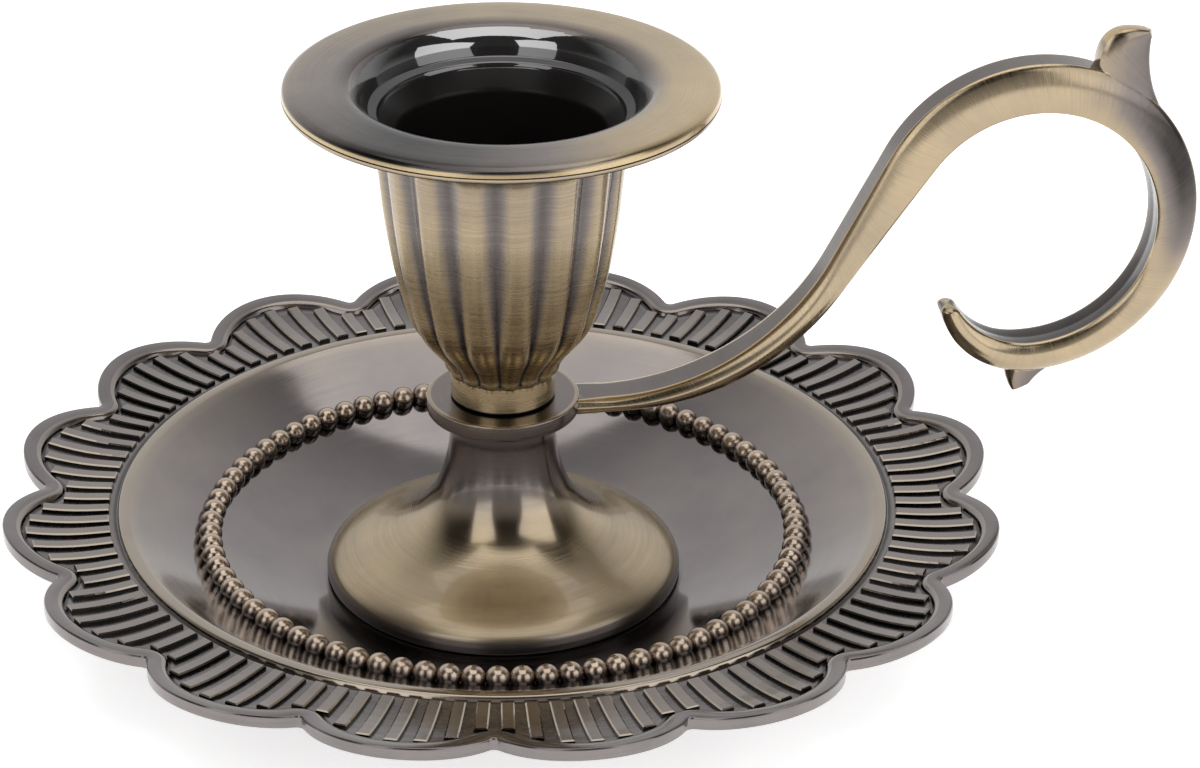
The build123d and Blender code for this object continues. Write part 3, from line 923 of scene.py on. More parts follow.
def rail_outline(plate):
    """The border from the field over its rounded top to the underside, as inset and rise, with tones."""
    width = plate.border_width
    step = plate.border_step
    wall = plate.field_wall
    return painted([
        # Dark crease at the border's inner foot
        (eased([
            (width + 0.55, 0.0, 0), (width + 0.4, -0.05, 0.1), (width + 0.12, -0.05, 0),
        ]), 0.6, 0.95, 0.0),
        # Border's inner slope
        (eased([
            (width + 0.1, 0.0, 0), (width - 0.08, step - 0.1, 0.25), (width - 0.5, step + 0.02, 0),
        ]), 0.5, 0.3, 0.4),
        # Border's rounded top
        (eased([
            (width - 0.55, step + 0.02, 0), (width * 0.45, step + 0.04, 0.5), (0.12, step - 0.06, 0.25),
            (0.0, step - 0.3, 0),
        ]), 0.6, 0.55, 0.3),
        # Rim, down to the underside
        (eased([
            (0.0, step - 0.36, 0), (0.0, -wall * 0.5, 0), (0.0, -wall, 0.16), (0.9, -wall, 0),
        ]), 0.5, 0.5, 0.0),
    ])


def underside(plate):
    """The plate's underside from the field inwards to the screw's recess."""
    under = plate.field_height - plate.field_wall
    floor, low, inner, through = dish_slope(plate)
    slope = bend(floor + through, low + through, inner + through, 20)
    below = [(plate.ring_radius + 1.2, under)] + eased([
        (plate.ring_radius + 0.4, under, 0), (slope[20][0] + 0.3, under, 0.6), (*slope[17], 0.2), slope[16],
    ])
    below += slope[15:0:-1]
    below += eased([
        (slope[0][0] + 1.0, slope[0][1] + 0.42, 0), (slope[0][0], 0.0, 0.9), (RECESS_RADIUS, 0.0, 0.3),
        (RECESS_RADIUS, RECESS_HEIGHT, 0.2), (SCREW_HOLE, RECESS_HEIGHT, 0),
    ])
    return divided(below, 4.0)


def plate_body(plate):
    """The plate's dish, flared field, border and underside as one skin."""
    field = plate.field_height
    edge = scalloped_edge(plate, petal_steps=26, notch_steps=8)
    dish, dish_tones, dish_polish = dish_outline(plate)
    rail, rail_tones, rail_polish = rail_outline(plate)
    below = underside(plate)

    def flared(point, level):
        return (point.x, point.y, level + flare(plate, point.length))

    def across(first, last, level, steps):
        """Rows over the field between two rows, which follow its flare."""
        return [
            [flared(Vector(a[:2]).lerp(Vector(b[:2]), t), level) for a, b in zip(first, last)]
            for t in spaced(0, 1, steps)[1:-1]
        ]

    border = [
        [flared(point - normal * inset, field + rise) for point, normal in edge] for inset, rise in rail
    ]
    headings = [atan2(point[1], point[0]) for point in border[0]]
    upper = [[(r * cos(a), r * sin(a), z) for a in headings] for r, z in dish]
    lower = [[(r * cos(a), r * sin(a), z) for a in headings] for r, z in below]
    top_field = across(upper[-1], border[0], field, steps=9)
    under_field = across(border[-1], lower[0], field - plate.field_wall, steps=5)
    rows = upper + top_field + border + under_field + lower
    plain = [0.5] * (len(under_field) + len(lower))
    tones = dish_tones + [0.68] * len(top_field) + rail_tones + plain
    polish = dish_polish + [0.0] * len(top_field) + rail_polish + [0.0] * len(plain)
    mesh = shell("drip_plate", rows, tones, ring=True)
    store_rows(mesh, "polish", rows, polish)
    return mesh


def rib_points(plate):
    """One point for each rib, with the rib's length and heading."""
    first = plate.ring_radius + RIB_START
    ends = rib_ends(plate, first, RIB_GAP)
    mesh = bpy.data.meshes.new("rib_points")
    points = []
    lengths = []
    turns = []
    for rib in range(plate.petals * plate.ribs_per_petal):
        heading = rib_heading(plate, rib)
        last = ends[rib % plate.ribs_per_petal]
        middle = (first + last) / 2
        points.append(Vector((middle * cos(heading), middle * sin(heading), plate.field_height)) * MM)
        lengths.append((last - first) * MM)
        turns.append(heading)
    mesh.from_pydata(points, [], [])
    store(mesh, "length", lengths)
    store(mesh, "turn", turns)
    return mesh


def bead_height(plate):
    """Height of the beads' middles over the table."""
    floor, _, inner, _ = dish_slope(plate)
    share = (plate.bead_ring_radius - floor.x) / (inner.x - floor.x)
    hollow = plate.sag * 4 * share * (1 - share)
    return floor.y + share * (inner.y - floor.y) - hollow + plate.bead_lift


class CHAMBERSTICK_OT_drip_plate(bpy.types.Operator):
    """Builds the scalloped drip plate with its ribs and ring of beads"""
    bl_idname = "chamberstick.drip_plate"
    bl_label = "Drip Plate"

    def execute(self, context):
        plate = settings(context, "drip_plate_sizes")
        finish = context.scene.finish_colours
        gunmetal = antiqued_brass(
            "Gunmetal bronzed brass, cast and lacquered", finish.plate_worn, finish.plate_aged, finish.black,
            stroke=0.35, stroke_tone=0.12, mottle_tone=0.26, gloss=0.27, coat=0.35, turned_grain=0.0,
        )
        copper = antiqued_brass(
            "Coppery antiqued brass, cast beads", finish.bead_worn, finish.aged_brass, finish.black,
            stroke=0.35, stroke_tone=0.0, mottle_tone=0.4, gloss=0.25, coat=0.6, turned_grain=0.0,
        )
        fit("drip_plate_dish", plate_body(plate), gunmetal, "base", "drip_plate")
        ribs = grown(rib_points(plate), rib_tree(), {
            "Width": plate.rib_width * MM, "Height": plate.rib_height * MM,
            "Bevel": plate.rib_bevel * MM, "Flare Radius": plate.flare_radius * MM,
            "Flare Bow": flare_bow(plate) / MM, "Material": gunmetal,
        })
        fit("drip_plate_ribs", ribs, gunmetal, "base", "drip_plate")
        beads = grown(bpy.data.meshes.new("bead_start"), bead_tree(), {
            "Beads": plate.beads, "Ring Radius": plate.bead_ring_radius * MM,
            "Bead Radius": plate.bead_radius * MM, "Height": bead_height(plate) * MM,
            "Turn": plate.turn, "Material": copper,
        })
        fit("drip_plate_beads", beads, copper, "base", "drip_plate")
        return {"FINISHED"}


# Pedestal

def pedestal_profile(pedestal):
    """Outline of the trumpet foot, from the hole's foot outwards, up the outside and back down the hole."""
    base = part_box("pedestal")[0].z / MM
    top = base + pedestal.height
    foot = pedestal.foot_radius
    roof = base + pedestal.hollow_height
    outside = eased([
        (pedestal.hollow_radius, roof, 0), (foot - 1.8, base + 0.02, 0.3), (foot - 0.35, base + 0.02, 0.15),
        (foot, base + 0.3, 0.25), (foot, base + 1.05, 0),
    ])
    trumpet = flowing([
        (foot, base + 1.05), (foot - 0.4, base + 1.95), (foot - 1.5, base + 2.8), (foot - 3.2, base + 3.6),
        (14.0, base + 4.5), (11.8, base + 5.65), (9.6, base + 7.35), (7.85, base + 9.5),
        (6.85, base + 11.7), (6.15, base + 14.3), (pedestal.neck_radius, base + 17.4),
        (pedestal.neck_radius + 0.1, top),
    ], 7)
    return divided([(SCREW_HOLE, roof)] + outside + trumpet[1:] + [(SCREW_HOLE, top)], 0.8)


class CHAMBERSTICK_OT_pedestal(bpy.types.Operator):
    """Builds the turned trumpet pedestal"""
    bl_idname = "chamberstick.pedestal"
    bl_label = "Pedestal"

    def execute(self, context):
        pedestal = settings(context, "pedestal_sizes")
        finish = context.scene.finish_colours
        brass = antiqued_brass(
            "Antiqued brass, turned pedestal", finish.worn_brass, finish.aged_brass, finish.black,
            stroke=0.16, stroke_tone=0.16, mottle_tone=0.22, gloss=0.35, coat=0.5, turned_grain=0.45,
        )
        profile = pedestal_profile(pedestal)
        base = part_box("pedestal")[0].z / MM
        # The tone is darkest round the foot's edge, a painted shade where the foot meets the dish, and
        # darker up the neck than on the skirt
        tones = []
        for _, height in profile:
            toward_neck = clamped((height - base - 8) / 5)
            foot_edge_shade = clamped(1.4 - (height - base) / 1.6)
            tones.append(0.22 + 0.3 * toward_neck + 0.5 * foot_edge_shade)
        rows = turned(profile, columns=192)
        mesh = shell("pedestal", rows, tones, ring=True)
        # The neck is polished, the skirt stays brushed
        neck = [clamped((height - base - 5) / 3) for _, height in profile]
        store_rows(mesh, "polish", rows, [0.65 * share for share in neck])
        fit("pedestal_turned", mesh, brass, "base", "pedestal")
        return {"FINISHED"}


# Handle

RUN_STEPS = 6
SWEEP_STEPS = 34
CLIMB_STEPS = 12
LOOP_STEPS = 110
SCROLL_STEPS = 30
LOOP_START = RUN_STEPS + SWEEP_STEPS + CLIMB_STEPS
SCROLL_OPENING = 0.18  # share of the bar's thickness that widens the scroll's outer bend
SIDE_STEPS = 10
BLADE_STEPS = 18
BLADE_COLUMNS = 20

# Tones round the bar's section
MOULD_LINE = 0.97  # along the middle of the inner face
INNER_FACE_SHADE = (0.89, 0.87)  # from that line to the edge, painted near black as shade under the arm and inside the loop
INNER_EDGE = 0.05
BAR_SIDE = 0.24
OUTER_EDGE = 0.03
OUTER_FACE = (0.66, 0.68)  # from the edge to the middle


def bar_edge(handle, level, run, climb, centre, radius, tip_height):
    """One edge of the bent bar: a level run, a sweep, a straight climb, the loop and the scroll."""
    lean = climb - pi / 2
    reach = (centre[0] - run) * cos(lean) + (centre[1] - level) * sin(lean)
    sweep_radius = (reach - radius) / (1 + sin(lean))
    sweep = (run, level + sweep_radius)
    scroll_radius = handle.scroll_radius + SCROLL_OPENING * (radius - handle.loop_radius)
    scroll = (centre[0], centre[1] - radius + scroll_radius)
    tip = asin((tip_height - scroll[1]) / scroll_radius)
    edge = [(x, level) for x in spaced(handle.arm_start, run, RUN_STEPS)]
    edge += arc(sweep, sweep_radius, -pi / 2, lean, SWEEP_STEPS)[1:]
    loop = arc(centre, radius, lean + pi, -pi / 2, LOOP_STEPS)
    climb_line = [Vector(edge[-1]).lerp(Vector(loop[0]), t) for t in spaced(0, 1, CLIMB_STEPS)]
    edge += climb_line[1:] + loop[1:]
    edge += arc(scroll, scroll_radius, -pi / 2, -pi - tip, SCROLL_STEPS)[1:]
    return edge


def bar_section(thickness, half_width, darker):
    """Points round the bar's section as (across, out), with a tone for each.

    The sides bulge and lean in a little like a worn casting's, their edges are rubbed bright, the outer
    face keeps its grey, and the inner face is painted dark as shade under the arm and inside the loop,
    with a dark line from the mould along its middle.
    """
    bulge = min(0.24 * thickness, 1.1 - 0.1 * thickness)
    lean = 0.1 * thickness
    flat_in = half_width - bulge - 0.1
    flat_out = half_width - bulge - lean - 0.15
    side = [
        (0.3, 0.03, INNER_FACE_SHADE[0]), (flat_in - 0.3, 0.0, INNER_FACE_SHADE[1]), (flat_in, 0.0, INNER_EDGE),
    ]
    for t in spaced(0.04, 0.96, SIDE_STEPS):
        across = half_width - lean * t - bulge * (2 * t - 1) ** 2
        side.append((across, thickness * t, BAR_SIDE + darker * min(1.0, 1.8 * t)))
    side += [(flat_out, thickness, OUTER_EDGE), (flat_out - 0.25, thickness, OUTER_FACE[0])]
    mirrored = [(-across, out, tone) for across, out, tone in reversed(side)]
    return [(0.0, 0.1, MOULD_LINE)] + side + [(0.0, thickness, OUTER_FACE[1])] + mirrored


def handle_bar(handle, base):
    """The bent bar from the collar round the finger loop to the scroll's blunt tip."""
    centre = (handle.loop_reach, base + handle.loop_rise)
    back = (handle.loop_reach, centre[1] + handle.back_rise)
    tip = centre[1] - handle.loop_radius + handle.tip_rise
    outer = bar_edge(
        handle, base + handle.arm_top, handle.run_top, handle.climb_top, back, handle.back_radius, tip
    )
    inner = bar_edge(
        handle, base + handle.arm_bottom, handle.run_bottom, handle.climb_bottom, centre,
        handle.loop_radius, tip,
    )
    stations = []
    for index, (inside, outside) in enumerate(zip(inner, outer)):
        scrolled = max(0.0, 1 - (len(inner) - 1 - index) / SCROLL_STEPS)
        width = handle.width + (handle.tip_width - handle.width) * scrolled
        # The side faces get darker round the far side of the loop
        looped = clamped(((index - LOOP_START) / LOOP_STEPS - 0.28) / 0.5)
        stations.append((Vector(inside), Vector(outside), width / 2, 0.7 * sin(pi * looped) ** 2))
    # The blunt end is rounded all round
    last_inner, last_outer, half_width, _ = stations[-1]
    heading = (last_inner + last_outer - stations[-2][0] - stations[-2][1]).normalized()
    for share, ahead, slimmer in ((0.07, 0.25, 0.2), (0.2, 0.45, 0.55)):
        stations.append((
            last_inner.lerp(last_outer, share) + heading * ahead,
            last_outer.lerp(last_inner, share) + heading * ahead, half_width - slimmer, 0.0,
        ))
    rows = []
    tones = []
    for inside, outside, half_width, darker in stations:
        out = (outside - inside).normalized()
        section = bar_section((outside - inside).length, half_width, darker)
        rows.append([
            (inside.x + out.x * a, across, inside.y + out.y * a) for across, a, _ in section
        ])
        tones.append([tone for _, _, tone in section])
    ends = []
    for inside, outside, _, _ in (stations[0], stations[-1]):
        middle = (inside + outside) / 2
        ends.append([(middle.x, 0.0, middle.y)])
    return shell("handle_bar", [ends[0]] + rows + [ends[1]], [0.3] + tones + [0.2])


def blade(handle, base, start, tip, end, height, bulge, half_thickness, blunt):
    """A leaf on the loop's back: a bulged edge up to the tip, a hollow edge flowing back.

    start, tip and end are its places round the loop in degrees, height is its rise over the loop's back,
    and blunt is how many of its rows are left off at the tip.
    """
    centre = Vector((handle.loop_reach, base + handle.loop_rise + handle.back_rise))

    def on_back(degrees, rise=0.0):
        return centre + Vector((cos(radians(degrees)), sin(radians(degrees)))) * (handle.back_radius + rise)

    point = on_back(tip, height)
    root = on_back(start, -0.6)
    chord = point - root
    away = Vector((-chord.y, chord.x)).normalized()
    if away.dot(root - on_back(end)) < 0:
        away = -away
    bulged = bend(root, (root + point) / 2 + away * bulge * 2, point, BLADE_STEPS)
    foot = on_back(end, -0.25)
    tangent = Vector((-sin(radians(end)), cos(radians(end)))) * (1 if start > end else -1)
    run = point - foot
    hollow = bend(foot, foot + tangent * (run.length_squared / (2 * run.dot(tangent))), point, BLADE_STEPS)
    sunk = (root + foot) / 2 - (point - centre).normalized() * 0.8
    rows = [[(sunk.x, 0.0, sunk.y)]]
    tones = [0.3]
    for step in range(len(bulged) - 1 - blunt):
        left = Vector(bulged[step])
        right = Vector(hollow[step])
        t = step / (len(bulged) - 1)
        # It thins towards the tip
        thick = half_thickness * (1 - 0.55 * t ** 1.5)
        row = []
        tone = []
        for a in bearings(BLADE_COLUMNS):
            swing = cos(a)
            # A full section with rounded edges, not a lens
            place = abs(swing) ** 0.6 * (1 if swing > 0 else -1)
            depth = abs(sin(a)) ** 0.45 * (1 if sin(a) > 0 else -1)
            spot = left + (right - left) * (0.5 + place / 2)
            row.append((spot.x, depth * thick, spot.y))
            # Its edges are rubbed bright above the root
            tone.append(0.1 if abs(swing) > 0.9 and t > 0.35 else 0.52 + 0.18 * place)
        rows.append(row)
        tones.append(tone)
    crown = (Vector(bulged[-1 - blunt]) + Vector(hollow[-1 - blunt])) / 2
    rows.append([(crown.x, 0.0, crown.y)])
    tones.append(0.1)
    return shell("handle_leaf", rows, tones)


def handle_collar(handle, base):
    """The flat eyelet that the screw passes through."""
    top = base + handle.collar_thickness
    edge = handle.collar_radius
    profile, tones, _ = painted([
        (eased([
            (SCREW_HOLE, base + 0.9, 0), (SCREW_HOLE, base, 0.1), (edge, base, 0.25), (edge, base + 0.5, 0),
        ]), 0.5, 0.45, 0),
        (eased([(edge, base + 0.6, 0), (edge, top, 0.3), (edge - 0.4, top, 0)]), 0.5, 0.3, 0),
        (spaced_line((edge - 0.5, top), (SCREW_HOLE + 0.1, top), 5), 0.58, 0.6, 0),
        (spaced_line((SCREW_HOLE, top - 0.1), (SCREW_HOLE, base + 0.95), 1), 0.8, 0.8, 0),
    ])
    return shell("handle_collar", turned(profile, columns=128), tones, ring=True)


def welded(parts):
    """The handle's parts as one casting, each point toned by the part it came from."""
    points = []
    kept = {"patina": [], "along": []}
    for part in parts:
        points += [vertex.co.copy() for vertex in part.vertices]
        for key, values in kept.items():
            values += [item.value for item in part.attributes[key].data]
    near = KDTree(len(points))
    for index, point in enumerate(points):
        near.insert(point, index)
    near.balance()
    whole = parts[0]
    for part in parts[1:]:
        whole = joined(whole, part, "UNION")
    sources = [near.find(vertex.co)[1] for vertex in whole.vertices]
    for key, values in kept.items():
        store(whole, key, [values[source] for source in sources])
    outward(whole)
    return whole


class CHAMBERSTICK_OT_handle(bpy.types.Operator):
    """Builds the scrolled handle with its collar, thumb leaf and spur"""
    bl_idname = "chamberstick.handle"
    bl_label = "Handle"

    def execute(self, context):
        handle = settings(context, "handle_sizes")
        finish = context.scene.finish_colours
        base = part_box("pedestal")[1].z / MM
        brass = antiqued_brass(
            "Antiqued brass, brushed handle", finish.worn_brass, finish.aged_brass, finish.black,
            stroke=0.12, stroke_tone=0.09, mottle_tone=0.22, gloss=0.21, coat=0.25, turned_grain=0.0,
        )
        casting = welded([
            handle_bar(handle, base),
            handle_collar(handle, base),
            blade(
                handle, base, start=70.0, tip=60.5, end=36.0,
                height=5.95, bulge=2.6, half_thickness=1.8, blunt=0,
            ),
            blade(
                handle, base, start=-95.5, tip=-89.5, end=-74.0,
                height=4.0, bulge=0.7, half_thickness=1.6, blunt=5,
            ),
        ])
        fit("handle_casting", casting, brass, "base", "handle")
        return {"FINISHED"}


# Candle cup, with lengths in millimetres

SPIGOT_HEIGHT = 3.0  # plain stem under the lobes
LOBE_HEIGHT = 26.4  # from the spigot to the spread of the flange
TAPPED_RADIUS = 2.05  # the hole that the screw's thread holds in
TAPPED_DEPTH = 10.9
SOCKET_DEPTH = 22.9
FLANGE_FACE = 0.6  # how far below the top the flange's upper face reaches
COLUMNS_PER_REED = 22
LACQUER_DROP = 9  # rows that the lacquer starts lower at the sides and front of the funnel

LOBE_CREST = (  # height over the cup's base, and radius over the lobes
    (3.05, 5.7), (3.25, 6.0), (3.7, 6.22), (4.3, 6.4), (5.2, 6.95), (6.3, 7.86), (7.5, 8.85), (8.8, 9.66),
    (10.3, 10.27), (12.0, 10.72), (16.3, 11.72), (21.7, 12.57), (26.7, 13.08), (29.4, 13.35),
)


def cup_outline(cup, base, top):
    """The cup from its tapped hole up the outside, over the flange and down into the socket.

    Gives the outline's points, tones and polish, and where its reeds, its mouth and its socket start.
    """
    stem = cup.spigot_radius
    edge = cup.flange_radius
    bore = cup.socket_radius
    hole = eased([
        (0.0, base + TAPPED_DEPTH, 0), (TAPPED_RADIUS, base + TAPPED_DEPTH, 0),
        (TAPPED_RADIUS, base + 0.3, 0), (TAPPED_RADIUS + 0.3, base, 0),
        (stem - 0.25, base, 0.1), (stem, base + 0.25, 0),
    ])
    spigot = painted([
        (divided(hole, 0.8), 0.85, 0.9, 0.0),
        (spaced_line((stem, base + 0.4), (stem, base + SPIGOT_HEIGHT), 5), 0.06, 0.06, 0.0),
    ])
    lobes = flowing([(radius, base + height) for height, radius in LOBE_CREST], 5)
    cove = bend(lobes[-1], (13.75, top - 2.3), (edge - 1.3, top - 1.68), 20)
    lower = divided(lobes, 0.5)
    upper = len(lower) // 2
    body = painted([
        (lower[:upper], 0.0, 0.02, 0.0), (lower[upper:], 0.02, 0.32, 0.0), (cove, 0.28, 0.1, 0.0),
    ])
    funnel = bend((15.9, top - 0.46), (15.0, top - 1.1), (14.5, top - 2.1), 16)
    mouth = painted([
        # Underside of the rolled rim
        (eased([
            (edge - 1.25, top - 1.7, 0), (edge - 0.1, top - 1.7, 0.35), (edge, top - 1.35, 0.2),
            (edge, top - 1.2, 0),
        ]), 0.45, 0.25, 0.2),
        # Dark line round the rim
        ([(edge - 0.03, top - 1.17), (edge - 0.1, top - 1.12), (edge - 0.04, top - 1.06)], 0.85, 0.85, 0.0),
        # Roll of the rim
        (eased([
            (edge - 0.02, top - 1.04, 0), (edge - 0.14, top - 0.42, 0.5), (edge - 0.75, top - 0.05, 0.55),
            (edge - 1.9, top, 0),
        ]), 0.06, 0.1, 0.1),
        # Flat of the flange, and its turn into the mouth
        (spaced_line((edge - 2.0, top), (18.0, top), 5), 0.1, 0.14, 0.0),
        (bend((17.9, top), (16.6, top), (15.95, top - 0.42), 6), 0.14, 0.5, 0.1),
    ])
    socket = painted([
        (funnel, 0.55, 0.98, 1.0),
        # Narrow ledge
        (eased([
            (14.45, top - 2.2, 0), (13.98, top - 3.1, 0.12), (13.02, top - 3.42, 0.14),
            (12.9, top - 3.7, 0.1), (12.75, top - 3.9, 0),
        ]), 1.0, 1.0, 0.35),
        # Bore that holds the candle, and its floor
        (eased([
            (12.7, top - 3.95, 0), (bore, top - 5.8, 0.4), (bore, top - 13.8, 0.4),
            (8.4, top - SOCKET_DEPTH, 0.6), (0.0, top - SOCKET_DEPTH, 0),
        ]), 1.0, 1.0, 0.0),
    ])
    outside = [a + b + c + d for a, b, c, d in zip(spigot, body, mouth, socket)]
    starts = [len(spigot[0]), len(spigot[0]) + len(body[0]), len(outside[0]) - len(socket[0])]
    return (*outside, starts)


def reed_shape(cup, radius, rise):
    """The grooves at one level of the cup: rise is 0 at the lobes' feet and 1 under the flange."""
    # The grooves fade out where the tulip spreads into the flange
    under_flange = clamped((17.5 - radius) / 3.5)
    # They turn from creases to hollows on the way up
    upper = clamped((rise - 0.2) / 0.4)
    return {
        "reed_depth": cup.reed_depth * (1.35 - 0.6 * rise) * under_flange,
        "reed_soft": upper,
        "reed_floor": cup.spigot_radius / radius if rise < 0.2 else 0.0,
        "reed_dark": (0.85 - 0.47 * upper) * under_flange,
        "reed_edge": 0.78 - 0.48 * upper,
    }


def flange_painted_shade(columns):
    """Painted shade on the flange's top: a dark reflection painted at its front left, and a little all along
    its left and back.
    """
    return [
        0.68 * max(0.0, cos(a + radians(118))) ** 3 + 0.28 * max(0.0, -cos(a)) + 0.14 * max(0.0, sin(a))
        for a in bearings(columns)
    ]


def lacquer_cover(rows, polish, socket_start, columns):
    """The polish of each point of the cup, and whether the black lacquer covers it.

    The lacquer is brightest at the back of the mouth and duller round its sides. At the back it reaches
    up to the lip, and elsewhere it starts lower in the funnel.
    """
    back = [max(0.0, sin(a)) for a in bearings(columns)]
    gloss = []
    covered = []
    for index, (row, sheen) in enumerate(zip(rows, polish)):
        for level in back if len(row) == columns else [1.0]:
            gloss.append(sheen * (0.25 + 0.75 * level ** 2) if index >= socket_start else sheen)
            covered.append(index >= socket_start + round(LACQUER_DROP * (1 - level)))
    return gloss, covered


class CHAMBERSTICK_OT_candle_cup(bpy.types.Operator):
    """Builds the reeded candle cup with its drip flange and socket"""
    bl_idname = "chamberstick.candle_cup"
    bl_label = "Candle Cup"

    def execute(self, context):
        cup = settings(context, "candle_cup_sizes")
        finish = context.scene.finish_colours
        low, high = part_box("candle_cup")
        base = low.z / MM
        top = high.z / MM
        brass = antiqued_brass(
            "Antiqued brass, brushed candle cup", finish.worn_brass, finish.aged_brass, finish.black,
            stroke=0.14, stroke_tone=0.1, mottle_tone=0.22, gloss=0.28, coat=0.3, turned_grain=0.6,
        )
        lacquer = black_lacquer("Black lacquer over brass, stoved", finish.black, finish.lacquer_haze)
        profile, tones, polish, (reeds_start, mouth_start, socket_start) = cup_outline(cup, base, top)
        columns = cup.reeds * COLUMNS_PER_REED
        rows = turned(profile, columns)
        reeds = {key: [] for key in reed_shape(cup, cup.flange_radius, 1.0)}
        flange_shade = flange_painted_shade(columns)
        for index, (radius, height) in enumerate(profile):
            lobed = reeds_start <= index < mouth_start
            rise = (height - base - SPIGOT_HEIGHT) / LOBE_HEIGHT
            shape = reed_shape(cup, radius, rise) if lobed else {}
            for key, values in reeds.items():
                values.append(shape.get(key, 0.0))
            # The flange's top takes its painted shade
            if mouth_start <= index < socket_start and height > top - FLANGE_FACE:
                tones[index] = [tones[index] + darker for darker in flange_shade]
        mesh = shell("candle_cup", rows, tones)
        gloss, covered = lacquer_cover(rows, polish, socket_start, columns)
        store(mesh, "polish", gloss)
        store(mesh, "lacquered", covered)
        for key, values in reeds.items():
            store_rows(mesh, key, rows, values)
        reeded = grown(mesh, reeding_tree(), {
            "Reeds": float(cup.reeds), "Turn": cup.turn, "Material": brass,
        })
        outward(reeded)
        fit("candle_cup_reeded", reeded, brass, "cup", "candle_cup")
        reeded.materials.append(lacquer)
        lacquered = [point.value > 0.5 for point in reeded.attributes["lacquered"].data]
        for face in reeded.polygons:
            face.material_index = int(all(lacquered[corner] for corner in face.vertices))
        return {"FINISHED"}


# Tie screw and washer, with lengths in millimetres

ROWS_PER_TURN = 8  # of the thread
SCREW_TIP = 0.5  # bevelled end past the thread


def threaded_screw(screw, material):
    """The screw's rounded head, plain shank and thread, before its slot is cut."""
    low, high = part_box("tie_screw")
    foot = low.z / MM
    end = high.z / MM
    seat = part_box("washer")[0].z / MM
    thread_start = seat + screw.plain_shank
    thread_end = end - SCREW_TIP
    head = eased([
        (0.0, foot, 0), (screw.head_radius - 0.9, foot, 0.5), (screw.head_radius, foot + 0.9, 0.5),
        (screw.head_radius, seat, 0.15), (screw.radius, seat, 0.1), (screw.radius, thread_start, 0),
    ])
    thread_rows = round((thread_end - thread_start) / screw.pitch * ROWS_PER_TURN)
    shank = [(screw.radius, h) for h in spaced(thread_start, thread_end, thread_rows)][1:]
    profile = head + shank + [(screw.radius - 0.45, end), (0.0, end)]
    rows = turned(profile, columns=48)
    mesh = shell("tie_screw", rows, [0.0] * len(rows))
    cut = [thread_start < height < thread_end + 0.1 for _, height in profile]
    store_rows(mesh, "thread", rows, [screw.thread_depth / screw.radius * level for level in cut])
    return grown(mesh, thread_tree(), {"Pitch": screw.pitch * MM, "Material": material})


def slot_block(screw):
    """The block that is cut out of the screw's head for its slot."""
    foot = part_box("tie_screw")[0].z
    # Longer than the head is wide, with half its height below the head
    extent = Vector((screw.head_radius * 2.4, screw.slot_width, screw.slot_depth * 2)) * MM
    work = bmesh.new()
    bmesh.ops.create_cube(
        work, size=1.0, matrix=Matrix.Translation((0, 0, foot)) @ Matrix.Diagonal((*extent, 1))
    )
    mesh = bpy.data.meshes.new("slot")
    work.to_mesh(mesh)
    work.free()
    return mesh


def plain_washer(screw):
    """The flat ring under the screw's head."""
    low, high = (corner.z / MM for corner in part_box("washer"))
    ring = eased([
        (SCREW_HOLE, low + 0.4, 0), (SCREW_HOLE, low, 0.08), (screw.washer_radius, low, 0.12),
        (screw.washer_radius, high, 0.2), (SCREW_HOLE, high, 0.08), (SCREW_HOLE, low + 0.45, 0),
    ])
    return shell("washer", turned(ring, columns=64), [0.0] * len(ring), ring=True)


class CHAMBERSTICK_OT_fixings(bpy.types.Operator):
    """Builds the slotted tie screw with its thread, and the washer under its head"""
    bl_idname = "chamberstick.fixings"
    bl_label = "Tie Screw and Washer"

    def execute(self, context):
        screw = settings(context, "tie_screw_sizes")
        zinc = zinc_plated_steel("Zinc-plated steel", context.scene.finish_colours.zinc)
        slotted = joined(threaded_screw(screw, zinc), slot_block(screw), "DIFFERENCE")
        outward(slotted)
        fit("tie_screw_threaded", slotted, zinc, "screw", "tie_screw")
        fit("washer_plain", plain_washer(screw), zinc, "base", "washer")
        return {"FINISHED"}


# Stage

# The photograph's camera, with its place in millimetres and its lens on Blender's default sensor
CAMERA_PLACE = (-44.4, -347.6, 205.75)
CAMERA_DOWN = radians(27.37)
CAMERA_RIGHT = radians(9.0)
CAMERA_ROLL = radians(0.56)
CAMERA_LENS = 109.29

FLOOR_HALF_WIDTH = 3.0
FLOOR_DROP = 0.05 * MM  # keeps the floor off the plate's underside
FLOOR_GLOW = 0.6

SOFTBOXES = (  # name, place, what it faces and size, in metres
    ("softbox_left", (-0.45, -0.53, 0.40), (0.0, 0.0, 0.03), (0.40, 0.62)),
    ("softbox_right", (0.52, -0.50, 0.36), (0.0, 0.0, 0.03), (0.65, 0.62)),
    ("softbox_above", (0.0, -0.05, 0.95), (0.0, 0.0, 0.03), (0.95, 0.90)),
)


def seen_white(tree):
    """Two sockets: 1 for camera, mirrored and refracted rays, and 1 for camera rays alone."""
    rays = add_node(tree, "ShaderNodeLightPath").outputs
    seen = rays["Is Camera Ray"]
    for kind in ("Is Glossy Ray", "Is Transmission Ray"):
        seen = add_node(tree, "ShaderNodeMath", {0: seen, 1: rays[kind]}, operation="MAXIMUM")
    return seen, rays["Is Camera Ray"]


